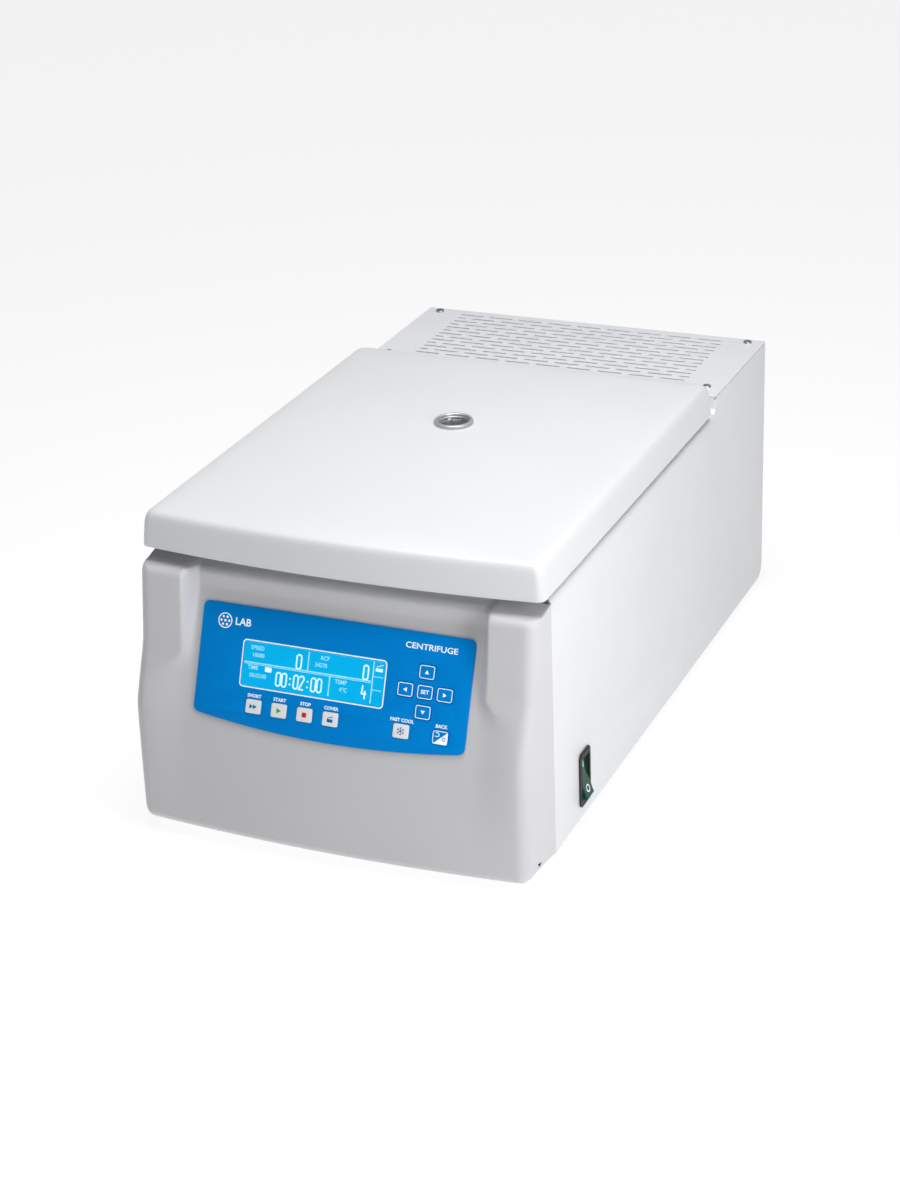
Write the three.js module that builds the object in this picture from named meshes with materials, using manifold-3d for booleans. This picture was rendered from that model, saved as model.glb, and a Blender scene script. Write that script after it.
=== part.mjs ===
// A refrigerated bench-top laboratory centrifuge, built from its separate pieces.
// Millimetres, +Z up, X to the right and Y to the back as the user stands in front of it.
// The origin is on the surface the feet stand on, under the middle of the machine.
import * as THREE from 'three';
import { mergeVertices } from 'three/addons/utils/BufferGeometryUtils.js';
import Module from 'manifold-3d';

const wasm = await Module();
wasm.setup();

// ---------- driving dimensions ----------
// Depths are measured from the seam between the front bezel and the side panels, which is y = 0
// inside the machine group, and heights from the underside of the base pan, which is z = 0.

const WIDTH = 365;
const HALF = WIDTH / 2;
const REAR = 605.6;              // rear edge of the side panels
const FRONT = -73;               // most forward point of the bezel's apron
const UNDER = -3.6;              // lower edge of the bezel and side panels, below the base pan
const FOOT_HEIGHT = 13.6;        // from the surface to the base pan
const GAP = 0.3;                 // assembly gap between pieces that touch
const SHEET = 1.5;               // housing sheet steel
const REAR_CORNER = 14;          // rounding of the lower rear corner

const SIDE_TOP = 235;            // top of the side panels under the lid
const SIDE_EDGE = 5;             // rounding of that edge
const HUMP_TOP = 252.3;          // top of the raised rear
const HUMP_FRONT = 441.5;        // step between the lid and the raised rear
const STEP_BEVEL = 4.5;
const DECK_TOP = 233;
const DECK_SHEET = 2;

const CHAMBER_Y = 235;           // centre of the chamber, rotor, motor and lid port
const BOWL_R = 112;
const BOWL_FLOOR = 88;
const BOWL_SHEET = 1.5;
const BOWL_RIM_R = 124;
const BOWL_HOLE_R = 20;

const WALL = 3;                  // moulded bezel and lid shell

// Front bezel: its front surface is a depth y for each x and z.
const BEZEL = {
  cornerR: 11,
  bottomR: 10,
  chinR: 9,                      // how far the lower corners of the bezel rise
  topR: 7,
  top: 226.5,
  ledgeRear: 229.5,
  consoleY: -36.5,               // the sloping console passes through this depth ...
  consoleZ: 160,                 // ... at this height
  consoleSlope: 0.40,
  bandY: -17,                    // upright band above the console
  pillarY: -35.5,                // pillar face at its top
  pillarTopZ: 214,
  pillarSlope: 0.134,
  footY: -43.2,                    // where the pillar runs out into the slope
  footZ: 158,
  footSlope: 0.395,
  footSoft: 1.2,
  wallIn: 131.5,                 // drafted wall between console and pillar
  wallOut: 142,
  wallEnd: 174,                  // below the pillar the wall widens and runs out
  wallEndZ: 128,
  ridgeMidZ: 92,
  ridgeRise: 16.5,
  apronMidY: -73,
  apronBow: 9.5,
  ridgeSoft: 2.5,
};

// Control label on the console, in its own plane: x across, s up the slope.
const CONSOLE_TILT = Math.atan(BEZEL.consoleSlope);
const LABEL = {
  z: 109.3,                      // height of the label's lower corners
  half: 125.6,
  height: 95.6,
  sag: 9.5,                      // how far the lower edge bows down
  cornerR: 5.5,
  from: 0.3,
  to: 1.5,
};
const LCD = { x0: -83.7, x1: 48, s0: 27.9, s1: 66.5 };
const KEY = { width: 14.3, height: 12, from: 0.8, to: 2.2, slot: 0.4, cornerR: 1.6 };
const ROW = { x: -69.2, s: 11.2, pitch: 24 };
const CLUSTER = { x: 85.5, s: 46.5, dx: 17.8, ds: 16.8 };
const KEYS = [
  ['key_short', ROW.x, ROW.s],
  ['key_start', ROW.x + ROW.pitch, ROW.s],
  ['key_stop', ROW.x + 2 * ROW.pitch, ROW.s],
  ['key_cover', ROW.x + 3 * ROW.pitch, ROW.s],
  ['key_fast_cool', CLUSTER.x - CLUSTER.dx, ROW.s],
  ['key_back', CLUSTER.x + CLUSTER.dx, ROW.s],
  ['key_up', CLUSTER.x, CLUSTER.s + CLUSTER.ds],
  ['key_left', CLUSTER.x - CLUSTER.dx, CLUSTER.s],
  ['key_set', CLUSTER.x, CLUSTER.s],
  ['key_right', CLUSTER.x + CLUSTER.dx, CLUSTER.s],
  ['key_down', CLUSTER.x, CLUSTER.s - CLUSTER.ds],
];

// Lid: plan outline at its lower edge, rim heights and the dome.
const LID = {
  half: 184.5,
  bottom: 239.6,
  back: 427.5,
  frontMid: -32,
  frontBow: 11,
  cornerR: 8,
  rimTop: 272.2,
  dome: 7.8,
};
const HINGE = { y: 416.5, z: 258, x: 118, armHalf: 8, bossR: 4.4, rodR: 2.2, lug: 4, notchHalf: 17 };
const PORT = { flangeR: 18, tubeR: 15, boreR: 12.5, top: 283.2, flange: 3.4 };
const LINER = { z0: 243, z1: 244.5, inset: 9 };
const LATCH = { y: 18, z: 197, hubR: 6.5, noseIn: 12, noseOut: 16, plate: 3 };

// Top grille of the raised rear.
const GRILLE = {
  slotLong: 25.6,
  pitchX: 32.3,
  pitchY: 9.9,
  slotWide: 2.8,
  halfX: 142.8,
  firstY: 593,
  rows: 14,
};
const SCREW = { x: 167.2, frontY: 461.5, rearY: 594.8, holeR: 2.3, headR: 4.4, head: 2.4 };

// Power switch on the right-hand side.
const SWITCH = { y: 70.5, z: 34, wide: 25, tall: 52, wallY: 11.4, wallZ: 21.6, deep: 24, tilt: 11 };
const ROCKER = { pivotX: HALF - 2, half: 19.4, wide: 20 };

// Drive.
const ROTOR = {
  bottom: 104,
  top: 178,
  bottomR: 84,
  topR: 99,
  bores: 6,
  boreR: 13,
  boreAngle: 20,
  boreDepth: 56,
  mouthR: 54,
};
const SHAFT_R = 7;
const MOTOR = { bodyR: 40, bottom: 8, top: 72, flangeR: 54, flangeZ: 40, boss: 84 };
const DAMPER = { circle: 68, r: 11, top: 36 };

// Cooling.
const COIL = { r: 120, tube: 3.4, z0: 112, turns: 4, pitch: 25, steps: 18 };
const FAN = { x: 72, z: 108, r: 66, size: 150, y0: 560, y1: 584 };

// Rear panel sockets.
const INLET = { x: -125, z: 44 };

// ---------- helpers ----------

const signedVolume = (position, index) => {
  const a = new THREE.Vector3();
  const b = new THREE.Vector3();
  const c = new THREE.Vector3();
  let six = 0;
  for (let i = 0; i < index.length; i += 3) {
    a.fromBufferAttribute(position, index[i]);
    b.fromBufferAttribute(position, index[i + 1]);
    c.fromBufferAttribute(position, index[i + 2]);
    six += a.dot(b.cross(c));
  }
  return six / 6;
};

// A closed three.js geometry as a solid whose faces point out.
const solid = (geometry) => {
  const bare = geometry.clone();
  bare.deleteAttribute('normal');
  bare.deleteAttribute('uv');
  const merged = mergeVertices(bare, 1e-4);
  const triVerts = Uint32Array.from(merged.index.array);
  if (signedVolume(merged.attributes.position, triVerts) < 0) {
    for (let i = 0; i < triVerts.length; i += 3) {
      [triVerts[i], triVerts[i + 1]] = [triVerts[i + 1], triVerts[i]];
    }
  }
  const vertProperties = Float32Array.from(merged.attributes.position.array);
  return new wasm.Manifold(new wasm.Mesh({ numProp: 3, vertProperties, triVerts }));
};

const toGeometry = (body) => {
  const out = body.getMesh();
  const geometry = new THREE.BufferGeometry();
  geometry.setAttribute('position', new THREE.BufferAttribute(Float32Array.from(out.vertProperties), 3));
  geometry.setIndex(new THREE.BufferAttribute(Uint32Array.from(out.triVerts), 1));
  geometry.computeVertexNormals();
  return geometry;
};

const join = (first, ...rest) => rest.reduce((sum, next) => sum.add(next), first);
const cut = (first, ...rest) => rest.reduce((left, next) => left.subtract(next), first);

// A box between two corners.
const block = (low, high) => {
  const size = high.map((value, i) => value - low[i]);
  const geometry = new THREE.BoxGeometry(...size);
  geometry.translate(...high.map((value, i) => (value + low[i]) / 2));
  return solid(geometry);
};

// A round bar between two points. The second radius makes it a cone.
const bar = (start, end, radius, sides = 20, endRadius = radius) => {
  const from = new THREE.Vector3(...start);
  const to = new THREE.Vector3(...end);
  const span = to.clone().sub(from);
  const geometry = new THREE.CylinderGeometry(endRadius, radius, span.length(), sides);
  const turn = new THREE.Quaternion().setFromUnitVectors(new THREE.Vector3(0, 1, 0), span.clone().normalize());
  geometry.applyQuaternion(turn);
  geometry.translate(...from.add(to).multiplyScalar(0.5).toArray());
  return solid(geometry);
};

// A closed profile of [radius, height] points, turned about a vertical axis at (x, y).
const turned = (profile, x, y, sides) => {
  const points = profile.map(([radius, height]) => new THREE.Vector2(radius, height));
  const geometry = new THREE.LatheGeometry(points, sides);
  geometry.rotateX(Math.PI / 2);
  geometry.translate(x, y, 0);
  return solid(geometry);
};

const shapeOf = (points) => new THREE.Shape(points.map(([u, v]) => new THREE.Vector2(u, v)));

// An outline pushed along an axis. Its two coordinates are the other two axes in X, Y, Z order.
const BASES = {
  x: [[0, 1, 0], [0, 0, 1], [1, 0, 0]],
  y: [[1, 0, 0], [0, 0, 1], [0, 1, 0]],
  z: [[1, 0, 0], [0, 1, 0], [0, 0, 1]],
};
const prism = (outline, axis, from, to, holes = []) => {
  const shape = shapeOf(outline);
  shape.holes = holes.map(shapeOf);
  const geometry = new THREE.ExtrudeGeometry(shape, { depth: to - from, bevelEnabled: false });
  geometry.translate(0, 0, from);
  const [u, v, w] = BASES[axis].map((direction) => new THREE.Vector3(...direction));
  geometry.applyMatrix4(new THREE.Matrix4().makeBasis(u, v, w));
  return solid(geometry);
};

const rectangle = (u0, u1, v0, v1) => [[u0, v0], [u1, v0], [u1, v1], [u0, v1]];

const arc = (cu, cv, radius, fromDeg, toDeg, steps) => {
  const points = [];
  for (let i = 0; i <= steps; i += 1) {
    const angle = THREE.MathUtils.degToRad(fromDeg + ((toDeg - fromDeg) * i) / steps);
    points.push([cu + radius * Math.cos(angle), cv + radius * Math.sin(angle)]);
  }
  return points;
};

const roundedRectangle = (u0, u1, v0, v1, r, steps = 1) => [
  ...arc(u1 - r, v0 + r, r, -90, 0, steps),
  ...arc(u1 - r, v1 - r, r, 0, 90, steps),
  ...arc(u0 + r, v1 - r, r, 90, 180, steps),
  ...arc(u0 + r, v0 + r, r, 180, 270, steps),
];

// Joins closed loops of 3-D points, all with the same count, and closes both ends.
// The flatten function gives each end loop's two coordinates for its cap.
const loft = (loops, flatten) => {
  const count = loops[0].length;
  const positions = loops.flat(2);
  const index = [];
  for (let k = 0; k + 1 < loops.length; k += 1) {
    for (let i = 0; i < count; i += 1) {
      const next = (i + 1) % count;
      const a = k * count + i;
      const b = k * count + next;
      index.push(a, b, b + count, a, b + count, a + count);
    }
  }
  const cap = (k, flip) => {
    const flat = loops[k].map((point) => new THREE.Vector2(...flatten(point)));
    const clockwise = THREE.ShapeUtils.isClockWise(flat);
    THREE.ShapeUtils.triangulateShape(clockwise ? [...flat].reverse() : flat, []).forEach((face) => {
      const [a, b, c] = clockwise ? face.map((i) => count - 1 - i).reverse() : face;
      const base = k * count;
      index.push(base + a, base + (flip ? c : b), base + (flip ? b : c));
    });
  };
  cap(0, true);
  cap(loops.length - 1, false);
  const geometry = new THREE.BufferGeometry();
  geometry.setAttribute('position', new THREE.Float32BufferAttribute(positions, 3));
  geometry.setIndex(index);
  return solid(geometry);
};

const smoothstep = (from, to, value) => THREE.MathUtils.smoothstep(value, from, to);
const softMax = (a, b, k) => (a + b + Math.hypot(a - b, k)) / 2;
const softMin = (a, b, k) => (a + b - Math.hypot(a - b, k)) / 2;
const roundOff = (radius, into) => (into > 0 ? radius - Math.sqrt(radius * radius - into * into) : 0);

// ---------- materials ----------

const finish = (color, roughness, metalness = 0, extra = {}) =>
  new THREE.MeshStandardMaterial({ color, roughness, metalness, ...extra });

const M = {
  coat: finish(0xe9eaee, 0.45),
  bezel: finish(0xd4d5da, 0.5),
  lid: finish(0xeeeff2, 0.42),
  label: finish(0x0a78c2, 0.4),
  screen: finish(0x18bdf2, 0.12, 0, { emissive: 0x0a88c0 }),
  keyWhite: finish(0xf3f6fa, 0.4),
  keyBlue: finish(0x0a78c2, 0.4),
  black: finish(0x16171a, 0.45),
  green: finish(0x0b4a36, 0.35),
  zinc: finish(0xb9bcc0, 0.38, 0.85),
  steel: finish(0xc9ccd0, 0.25, 0.95),
  alu: finish(0xb4b8be, 0.35, 0.9),
  rotor: finish(0x8f959d, 0.4, 0.85),
  rubber: finish(0x1b1c1e, 0.85),
  seal: finish(0x5d6166, 0.8),
  glass: finish(0xd8e6ea, 0.05, 0, { transparent: true, opacity: 0.35 }),
  board: finish(0x1d5c3a, 0.6),
  copper: finish(0xb8734a, 0.3, 0.9),
  enamel: finish(0x1f2226, 0.35),
};

// ---------- the machine group ----------

const centrifuge = new THREE.Group();
centrifuge.name = 'laboratory_centrifuge';

const INLET_FLANGE = 2;
const machine = new THREE.Group();
const rearmost = REAR + INLET_FLANGE;
machine.position.set(0, -(FRONT + rearmost) / 2, FOOT_HEIGHT);
centrifuge.add(machine);

const place = (name, body, material, parent = machine) => {
  const mesh = new THREE.Mesh(toGeometry(body), material);
  mesh.name = name;
  parent.add(mesh);
  return mesh;
};

// ---------- housing ----------

const basePan = () => {
  const inner = REAR_CORNER - SHEET;
  const rearY = REAR - REAR_CORNER;
  const outline = [
    [2, 0],
    ...arc(rearY, REAR_CORNER, REAR_CORNER - GAP, -90, 0, 5).map(([y, z]) => [y, Math.max(z, 0)]),
    [REAR - GAP, 20],
    [REAR - SHEET, 20],
    ...arc(rearY, REAR_CORNER, inner, 0, -90, 5),
    [2 + SHEET, SHEET],
    [2 + SHEET, 14],
    [2, 14],
  ];
  const x = HALF - SHEET - GAP;
  return prism(outline, 'x', -x, x);
};

// One side panel: a sheet with a rounded, folded-in top edge beside the lid.
const sidePanel = (side) => {
  const outline = [
    [GAP, UNDER],
    ...arc(REAR - REAR_CORNER, UNDER + REAR_CORNER, REAR_CORNER, -90, 0, 5),
    [REAR, HUMP_TOP - SHEET - GAP],
    [HUMP_FRONT + STEP_BEVEL, HUMP_TOP - SHEET - GAP],
    [HUMP_FRONT, HUMP_TOP - SHEET - STEP_BEVEL],
    [HUMP_FRONT, SIDE_TOP + STEP_BEVEL],
    [HUMP_FRONT - STEP_BEVEL, SIDE_TOP],
    [HUMP_FRONT - STEP_BEVEL, SIDE_TOP - SIDE_EDGE],
    [GAP, SIDE_TOP - SIDE_EDGE],
  ];
  const inner = HALF - SHEET;
  const sheet = prism(outline, 'x', inner, HALF);
  const edge = [
    ...arc(HALF - SIDE_EDGE, SIDE_TOP - SIDE_EDGE, SIDE_EDGE, 0, 90, 4),
    [HALF - 21, SIDE_TOP],
    [HALF - 21, SIDE_TOP - SHEET],
    ...arc(HALF - SIDE_EDGE, SIDE_TOP - SIDE_EDGE, SIDE_EDGE - SHEET, 90, 0, 4),
  ];
  let body = join(sheet, prism(edge, 'y', GAP, HUMP_FRONT - STEP_BEVEL));
  if (side > 0) {
    const y = [SWITCH.y - SWITCH.wallY - GAP, SWITCH.y + SWITCH.wallY + GAP];
    const z = [SWITCH.z - SWITCH.wallZ - GAP, SWITCH.z + SWITCH.wallZ + GAP];
    return cut(body, block([inner - 1, y[0], z[0]], [HALF + 1, y[1], z[1]]));
  }
  body = body.mirror([1, 0, 0]);
  return body;
};

const FAN_SLOTS = 13;
const rearPanel = () => {
  const x = HALF - SHEET - GAP;
  const y = REAR - GAP;
  const holes = [
    rectangle(INLET.x - 14.3, INLET.x + 14.3, INLET.z - 12.3, INLET.z + 12.3),
  ];
  for (let i = 0; i < FAN_SLOTS; i += 1) {
    const z = FAN.z + (i - (FAN_SLOTS - 1) / 2) * 9.5;
    const half = Math.sqrt(FAN.r * FAN.r - (z - FAN.z) ** 2);
    holes.push(rectangle(FAN.x - half, FAN.x + half, z - 2.2, z + 2.2));
  }
  return prism(rectangle(-x, x, 20 + GAP, HUMP_TOP - SHEET - GAP), 'y', y - SHEET, y, holes);
};

const STRIKER_SLOT = { x: 14, y0: 8, y1: 30 };
const deckPlate = () => {
  const x = HALF - SIDE_EDGE;
  const slot = rectangle(-STRIKER_SLOT.x, STRIKER_SLOT.x, STRIKER_SLOT.y0, STRIKER_SLOT.y1);
  const chamber = arc(0, CHAMBER_Y, BOWL_R + BOWL_SHEET + 1.5, 0, 350, 35);
  const rear = HUMP_FRONT - GAP;
  const plate = prism(rectangle(-x, x, 3, rear), 'z', DECK_TOP - DECK_SHEET, DECK_TOP, [slot, chamber]);
  return join(plate, block([-x, 3, DECK_TOP - 17], [x, 4.5, DECK_TOP - 1]));
};

const humpFront = () => {
  const x = HALF - SHEET - GAP;
  return block([-x, HUMP_FRONT, DECK_TOP - 30], [x, HUMP_FRONT + SHEET, HUMP_TOP - SHEET - GAP]);
};

const grilleSlots = () => {
  const slots = [];
  for (let row = 0; row < GRILLE.rows; row += 1) {
    const y = GRILLE.firstY - row * GRILLE.pitchY;
    const shift = row % 2 === 0 ? 0 : GRILLE.pitchX / 2;
    for (let x = -GRILLE.halfX - shift; x < GRILLE.halfX; x += GRILLE.pitchX) {
      const from = Math.max(x, -GRILLE.halfX);
      const to = Math.min(x + GRILLE.slotLong, GRILLE.halfX);
      if (to - from > 4) {
        const low = [from, y - GRILLE.slotWide / 2, HUMP_TOP - SHEET - 1];
        slots.push(block(low, [to, y + GRILLE.slotWide / 2, HUMP_TOP + 1]));
      }
    }
  }
  return slots;
};

const SCREW_PLACES = [
  ['grille_screw_front_left', -SCREW.x, SCREW.frontY],
  ['grille_screw_front_right', SCREW.x, SCREW.frontY],
  ['grille_screw_rear_left', -SCREW.x, SCREW.rearY],
  ['grille_screw_rear_right', SCREW.x, SCREW.rearY],
];

const topGrille = () => {
  const plate = block([-HALF, HUMP_FRONT, HUMP_TOP - SHEET], [HALF, REAR, HUMP_TOP]);
  const holes = SCREW_PLACES.map(([, x, y]) => bar([x, y, HUMP_TOP - 9], [x, y, HUMP_TOP + 5], SCREW.holeR, 10));
  return cut(plate, ...holes, ...grilleSlots());
};

const grilleScrew = (x, y) => {
  const seat = HUMP_TOP + GAP;
  const head = bar([x, y, seat], [x, y, seat + SCREW.head], SCREW.headR, 12, SCREW.headR * 0.86);
  const stem = bar([x, y, HUMP_TOP - 8], [x, y, seat + 0.5], SCREW.holeR - GAP, 10);
  const socket = bar([x, y, seat + SCREW.head - 1.4], [x, y, seat + SCREW.head + 1], 1.6, 6);
  return cut(join(head, stem), socket);
};

const foot = (x, y) => turned([
  [0, -FOOT_HEIGHT],
  [11.5, -FOOT_HEIGHT],
  [13, -FOOT_HEIGHT + 1.5],
  [14, -GAP],
  [0, -GAP],
], x, y, 20);

// ---------- front bezel ----------

// Depth of the sloping console and of the two pillars that frame it.
const upperDepth = (x, z) => {
  const consoleY = BEZEL.consoleY + BEZEL.consoleSlope * (z - BEZEL.consoleZ);
  const recess = softMin(consoleY, BEZEL.bandY, 1.5);
  const face = BEZEL.pillarY - BEZEL.pillarSlope * (BEZEL.pillarTopZ - z);
  const run = BEZEL.footY + BEZEL.footSlope * (z - BEZEL.footZ);
  const pillar = softMin(face, run, BEZEL.footSoft);
  const upright = smoothstep(BEZEL.wallEndZ, BEZEL.footZ, z);
  const wallOut = THREE.MathUtils.lerp(BEZEL.wallEnd, BEZEL.wallOut, upright);
  return THREE.MathUtils.lerp(recess, pillar, smoothstep(BEZEL.wallIn, wallOut, Math.abs(x)));
};

const bezelDepth = (x, z) => {
  const ridgeZ = ridgeHeight(x);
  const bottomY = BEZEL.apronMidY + BEZEL.apronBow * (x / HALF) ** 2;
  const apron = THREE.MathUtils.lerp(bottomY, upperDepth(x, ridgeZ), z / ridgeZ);
  return softMax(upperDepth(x, z), apron, BEZEL.ridgeSoft);
};

const ridgeHeight = (x) => BEZEL.ridgeMidZ + BEZEL.ridgeRise * (Math.abs(x) / HALF) ** 2;

// The bezel's front surface at one x, from the bottom edge to the top ledge, set back by `inset`.
const bezelSection = (x, inset, backY) => {
  const half = HALF - inset;
  const under = UNDER + inset;
  const low = under + roundOff(BEZEL.chinR, Math.abs(x) - (half - BEZEL.chinR));
  const high = BEZEL.top - inset;
  const cornerR = BEZEL.cornerR - inset * 0.5;
  const corner = roundOff(cornerR, Math.abs(x) - (half - cornerR));
  const ridgeZ = ridgeHeight(x);
  const heights = [
    low, low + 2.6, low + 9,
    ridgeZ - 14, ridgeZ - 3, ridgeZ + 3, ridgeZ + 14,
    140, 155, 162, 204, 208,
    high - 7, high - 2.2, high,
  ];
  const points = heights.map((z) => {
    const bottom = roundOff(BEZEL.bottomR, BEZEL.bottomR - (z - low));
    const top = roundOff(BEZEL.topR, z - (high - BEZEL.topR));
    return [x, bezelDepth(x, z) + inset + corner + bottom + top, z];
  });
  points.push([x, backY, BEZEL.ledgeRear - inset]);
  points.push([x, backY, under]);
  return points;
};

const bezelStations = (half) => {
  const right = [0, 64, 127, 133, 136.75, 140.5, 158];
  right.push(half - BEZEL.cornerR, half - 5, half - 1.6, half);
  return [...right.slice(1).reverse().map((x) => -x), ...right];
};

const bezelBlock = (inset, backY) => {
  const loops = bezelStations(HALF - inset).map((x) => bezelSection(x, inset, backY));
  return loft(loops, ([, y, z]) => [y, z]);
};

// A solid drawn in the console's plane (x, s up the slope, height off the surface), put in place.
const onConsole = (body) => {
  const y = BEZEL.consoleY + BEZEL.consoleSlope * (LABEL.z - BEZEL.consoleZ);
  return body.rotate([90 - THREE.MathUtils.radToDeg(CONSOLE_TILT), 0, 0]).translate([0, y, LABEL.z]);
};

const frontBezel = () => {
  const shell = cut(bezelBlock(0, 0), bezelBlock(WALL, 6));
  const window = prism(rectangle(LCD.x0 - 2, LCD.x1 + 2, LCD.s0 - 2, LCD.s1 + 2), 'z', -12, 12);
  return cut(shell, onConsole(window));
};

// ---------- control label, display and keys (in the console's plane) ----------

const consoleGroup = new THREE.Group();
consoleGroup.position.set(0, BEZEL.consoleY + BEZEL.consoleSlope * (LABEL.z - BEZEL.consoleZ), LABEL.z);
consoleGroup.rotation.x = Math.PI / 2 - CONSOLE_TILT;
machine.add(consoleGroup);

const labelOutline = () => {
  const { half, height, sag, cornerR } = LABEL;
  const lower = [];
  const steps = 10;
  for (let i = 0; i <= steps; i += 1) {
    const x = -half + cornerR + (2 * (half - cornerR) * i) / steps;
    lower.push([x, -sag * (1 - (x / half) ** 2)]);
  }
  return [
    ...lower,
    [half - 1.2, 1.4],
    [half, cornerR],
    ...arc(half - cornerR, height - cornerR, cornerR, 0, 90, 3),
    ...arc(-half + cornerR, height - cornerR, cornerR, 90, 180, 3),
    [-half, cornerR],
    [-half + 1.2, 1.4],
  ];
};

const keyHole = ([, x, s]) => {
  const u = KEY.width / 2 + KEY.slot;
  const v = KEY.height / 2 + KEY.slot;
  return roundedRectangle(x - u, x + u, s - v, s + v, KEY.cornerR + KEY.slot);
};

const controlLabel = () => {
  const holes = KEYS.map(keyHole);
  holes.push(roundedRectangle(LCD.x0 - GAP, LCD.x1 + GAP, LCD.s0 - GAP, LCD.s1 + GAP, 2));
  return prism(labelOutline(), 'z', LABEL.from, LABEL.to, holes);
};

const lcdWindow = () =>
  prism(roundedRectangle(LCD.x0, LCD.x1, LCD.s0, LCD.s1, 2), 'z', LABEL.from, LABEL.to - 0.2);

const keyCap = () => {
  const u = KEY.width / 2;
  const v = KEY.height / 2;
  return prism(roundedRectangle(-u, u, -v, v, KEY.cornerR), 'z', 0, KEY.to - KEY.from);
};

// The liquid crystal module on its circuit board, behind the window.
const displayBoard = () => {
  const glass = block([LCD.x0 - 1, LCD.s0 - 1, -9], [LCD.x1 + 1, LCD.s1 + 1, -1]);
  const board = block([-118, 2, -13], [118, 78, -8.9]);
  return join(board, glass);
};

// ---------- power switch ----------

const switchFrame = () => {
  const { y, z, wide, tall, wallY, wallZ, deep } = SWITCH;
  const bevel = 3;
  const u = wide / 2;
  const v = tall / 2;
  const flange = [
    [y - u + bevel, z - v], [y + u - bevel, z - v], [y + u, z - v + bevel], [y + u, z + v - bevel],
    [y + u - bevel, z + v], [y - u + bevel, z + v], [y - u, z + v - bevel], [y - u, z - v + bevel],
  ];
  const plate = prism(flange, 'x', HALF + GAP, HALF + 2);
  const can = block([HALF - deep, y - wallY, z - wallZ], [HALF + 0.5, y + wallY, z + wallZ]);
  const well = block([HALF - deep + 2, y - 10.4, z - 20.6], [HALF + 5, y + 10.4, z + 20.6]);
  return cut(join(plate, can), well);
};

const rocker = () => {
  const { pivotX, half, wide } = ROCKER;
  const outline = [
    [-half, 4.8], [-half * 0.5, 3.1], [0, 2.4], [half * 0.5, 3.1], [half, 4.8],
    [half, -1], [half * 0.55, -8], [-half * 0.55, -8], [-half, -1],
  ];
  const tilt = THREE.MathUtils.degToRad(SWITCH.tilt);
  const turnedOutline = outline.map(([along, out]) => [
    pivotX + out * Math.cos(tilt) - along * Math.sin(tilt),
    SWITCH.z + out * Math.sin(tilt) + along * Math.cos(tilt),
  ]);
  return prism(turnedOutline, 'y', SWITCH.y - wide / 2, SWITCH.y + wide / 2);
};

// ---------- lid ----------

// Plan outline of the lid's lower edge, moved in by `inset`.
const lidOutline = (inset) => {
  const half = LID.half - inset;
  const back = LID.back - inset;
  const r = LID.cornerR;
  const front = (x) => LID.frontMid + inset + LID.frontBow * (x / LID.half) ** 2;
  const corner = front(half - r);
  const points = [];
  for (let i = 0; i <= 6; i += 1) {
    const x = -(half - r) + ((half - r) * i) / 3;
    points.push([x, front(x)]);
  }
  points.push(...arc(half - r, corner + r, r, -60, 0, 2));
  points.push([half, CHAMBER_Y]);
  points.push(...arc(half - r, back - r, r, 0, 90, 3));
  points.push([(half - r) / 2, back], [0, back], [-(half - r) / 2, back]);
  points.push(...arc(-half + r, back - r, r, 90, 180, 3));
  points.push([-half, CHAMBER_Y]);
  points.push(...arc(-half + r, corner + r, r, 180, 240, 2));
  return points;
};

const lidTop = (x, y) => {
  const mid = (LID.frontMid + LID.back) / 2;
  const u = x / LID.half;
  const v = (y - mid) / (LID.back - mid);
  const across = Math.max(0, 1 - u * u);
  const along = Math.max(0, 1 - v * v);
  return LID.rimTop + LID.dome * across * (0.45 + 0.55 * along);
};

// Rim rings as [inset, height], then the dome as shrinking copies of the last ring.
const lidBody = (rim, drop) => {
  const loops = rim.map(([inset, z]) => lidOutline(inset).map(([x, y]) => [x, y, z]));
  const [lastInset, lastZ] = rim[rim.length - 1];
  const edge = lidOutline(lastInset);
  [0.94, 0.8, 0.6, 0.36, 0.12].forEach((scale) => {
    const settle = Math.exp(-(1 - scale) * 30);
    loops.push(edge.map(([x, y]) => {
      const px = x * scale;
      const py = CHAMBER_Y + (y - CHAMBER_Y) * scale;
      return [px, py, THREE.MathUtils.lerp(lidTop(px, py) - drop, lastZ, settle)];
    }));
  });
  return loft(loops, ([x, y]) => [x, y]);
};

const LID_RIM = [[0, LID.bottom], [0.5, 248], [1.5, 259], [2.3, 264], [3.9, 268.2], [6.6, 270.9], [10.5, 272]];
const LID_INNER_RIM = [[3.2, LID.bottom - 5], [4.6, 258], [6.6, 265], [10.5, 268.4]];

const hingeNotches = (y0, y1, z0, z1) => [-1, 1].map((side) => {
  const x = side * HINGE.x;
  return block([x - HINGE.notchHalf, y0, z0], [x + HINGE.notchHalf, y1, z1]);
});

const lidShell = () => {
  const shell = cut(lidBody(LID_RIM, 0), lidBody(LID_INNER_RIM, WALL));
  const port = bar([0, CHAMBER_Y, 200], [0, CHAMBER_Y, 300], PORT.tubeR + GAP, 28);
  return cut(shell, port, ...hingeNotches(HINGE.y - 2, LID.back + 4, LID.bottom - 5, 263.5));
};

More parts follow.
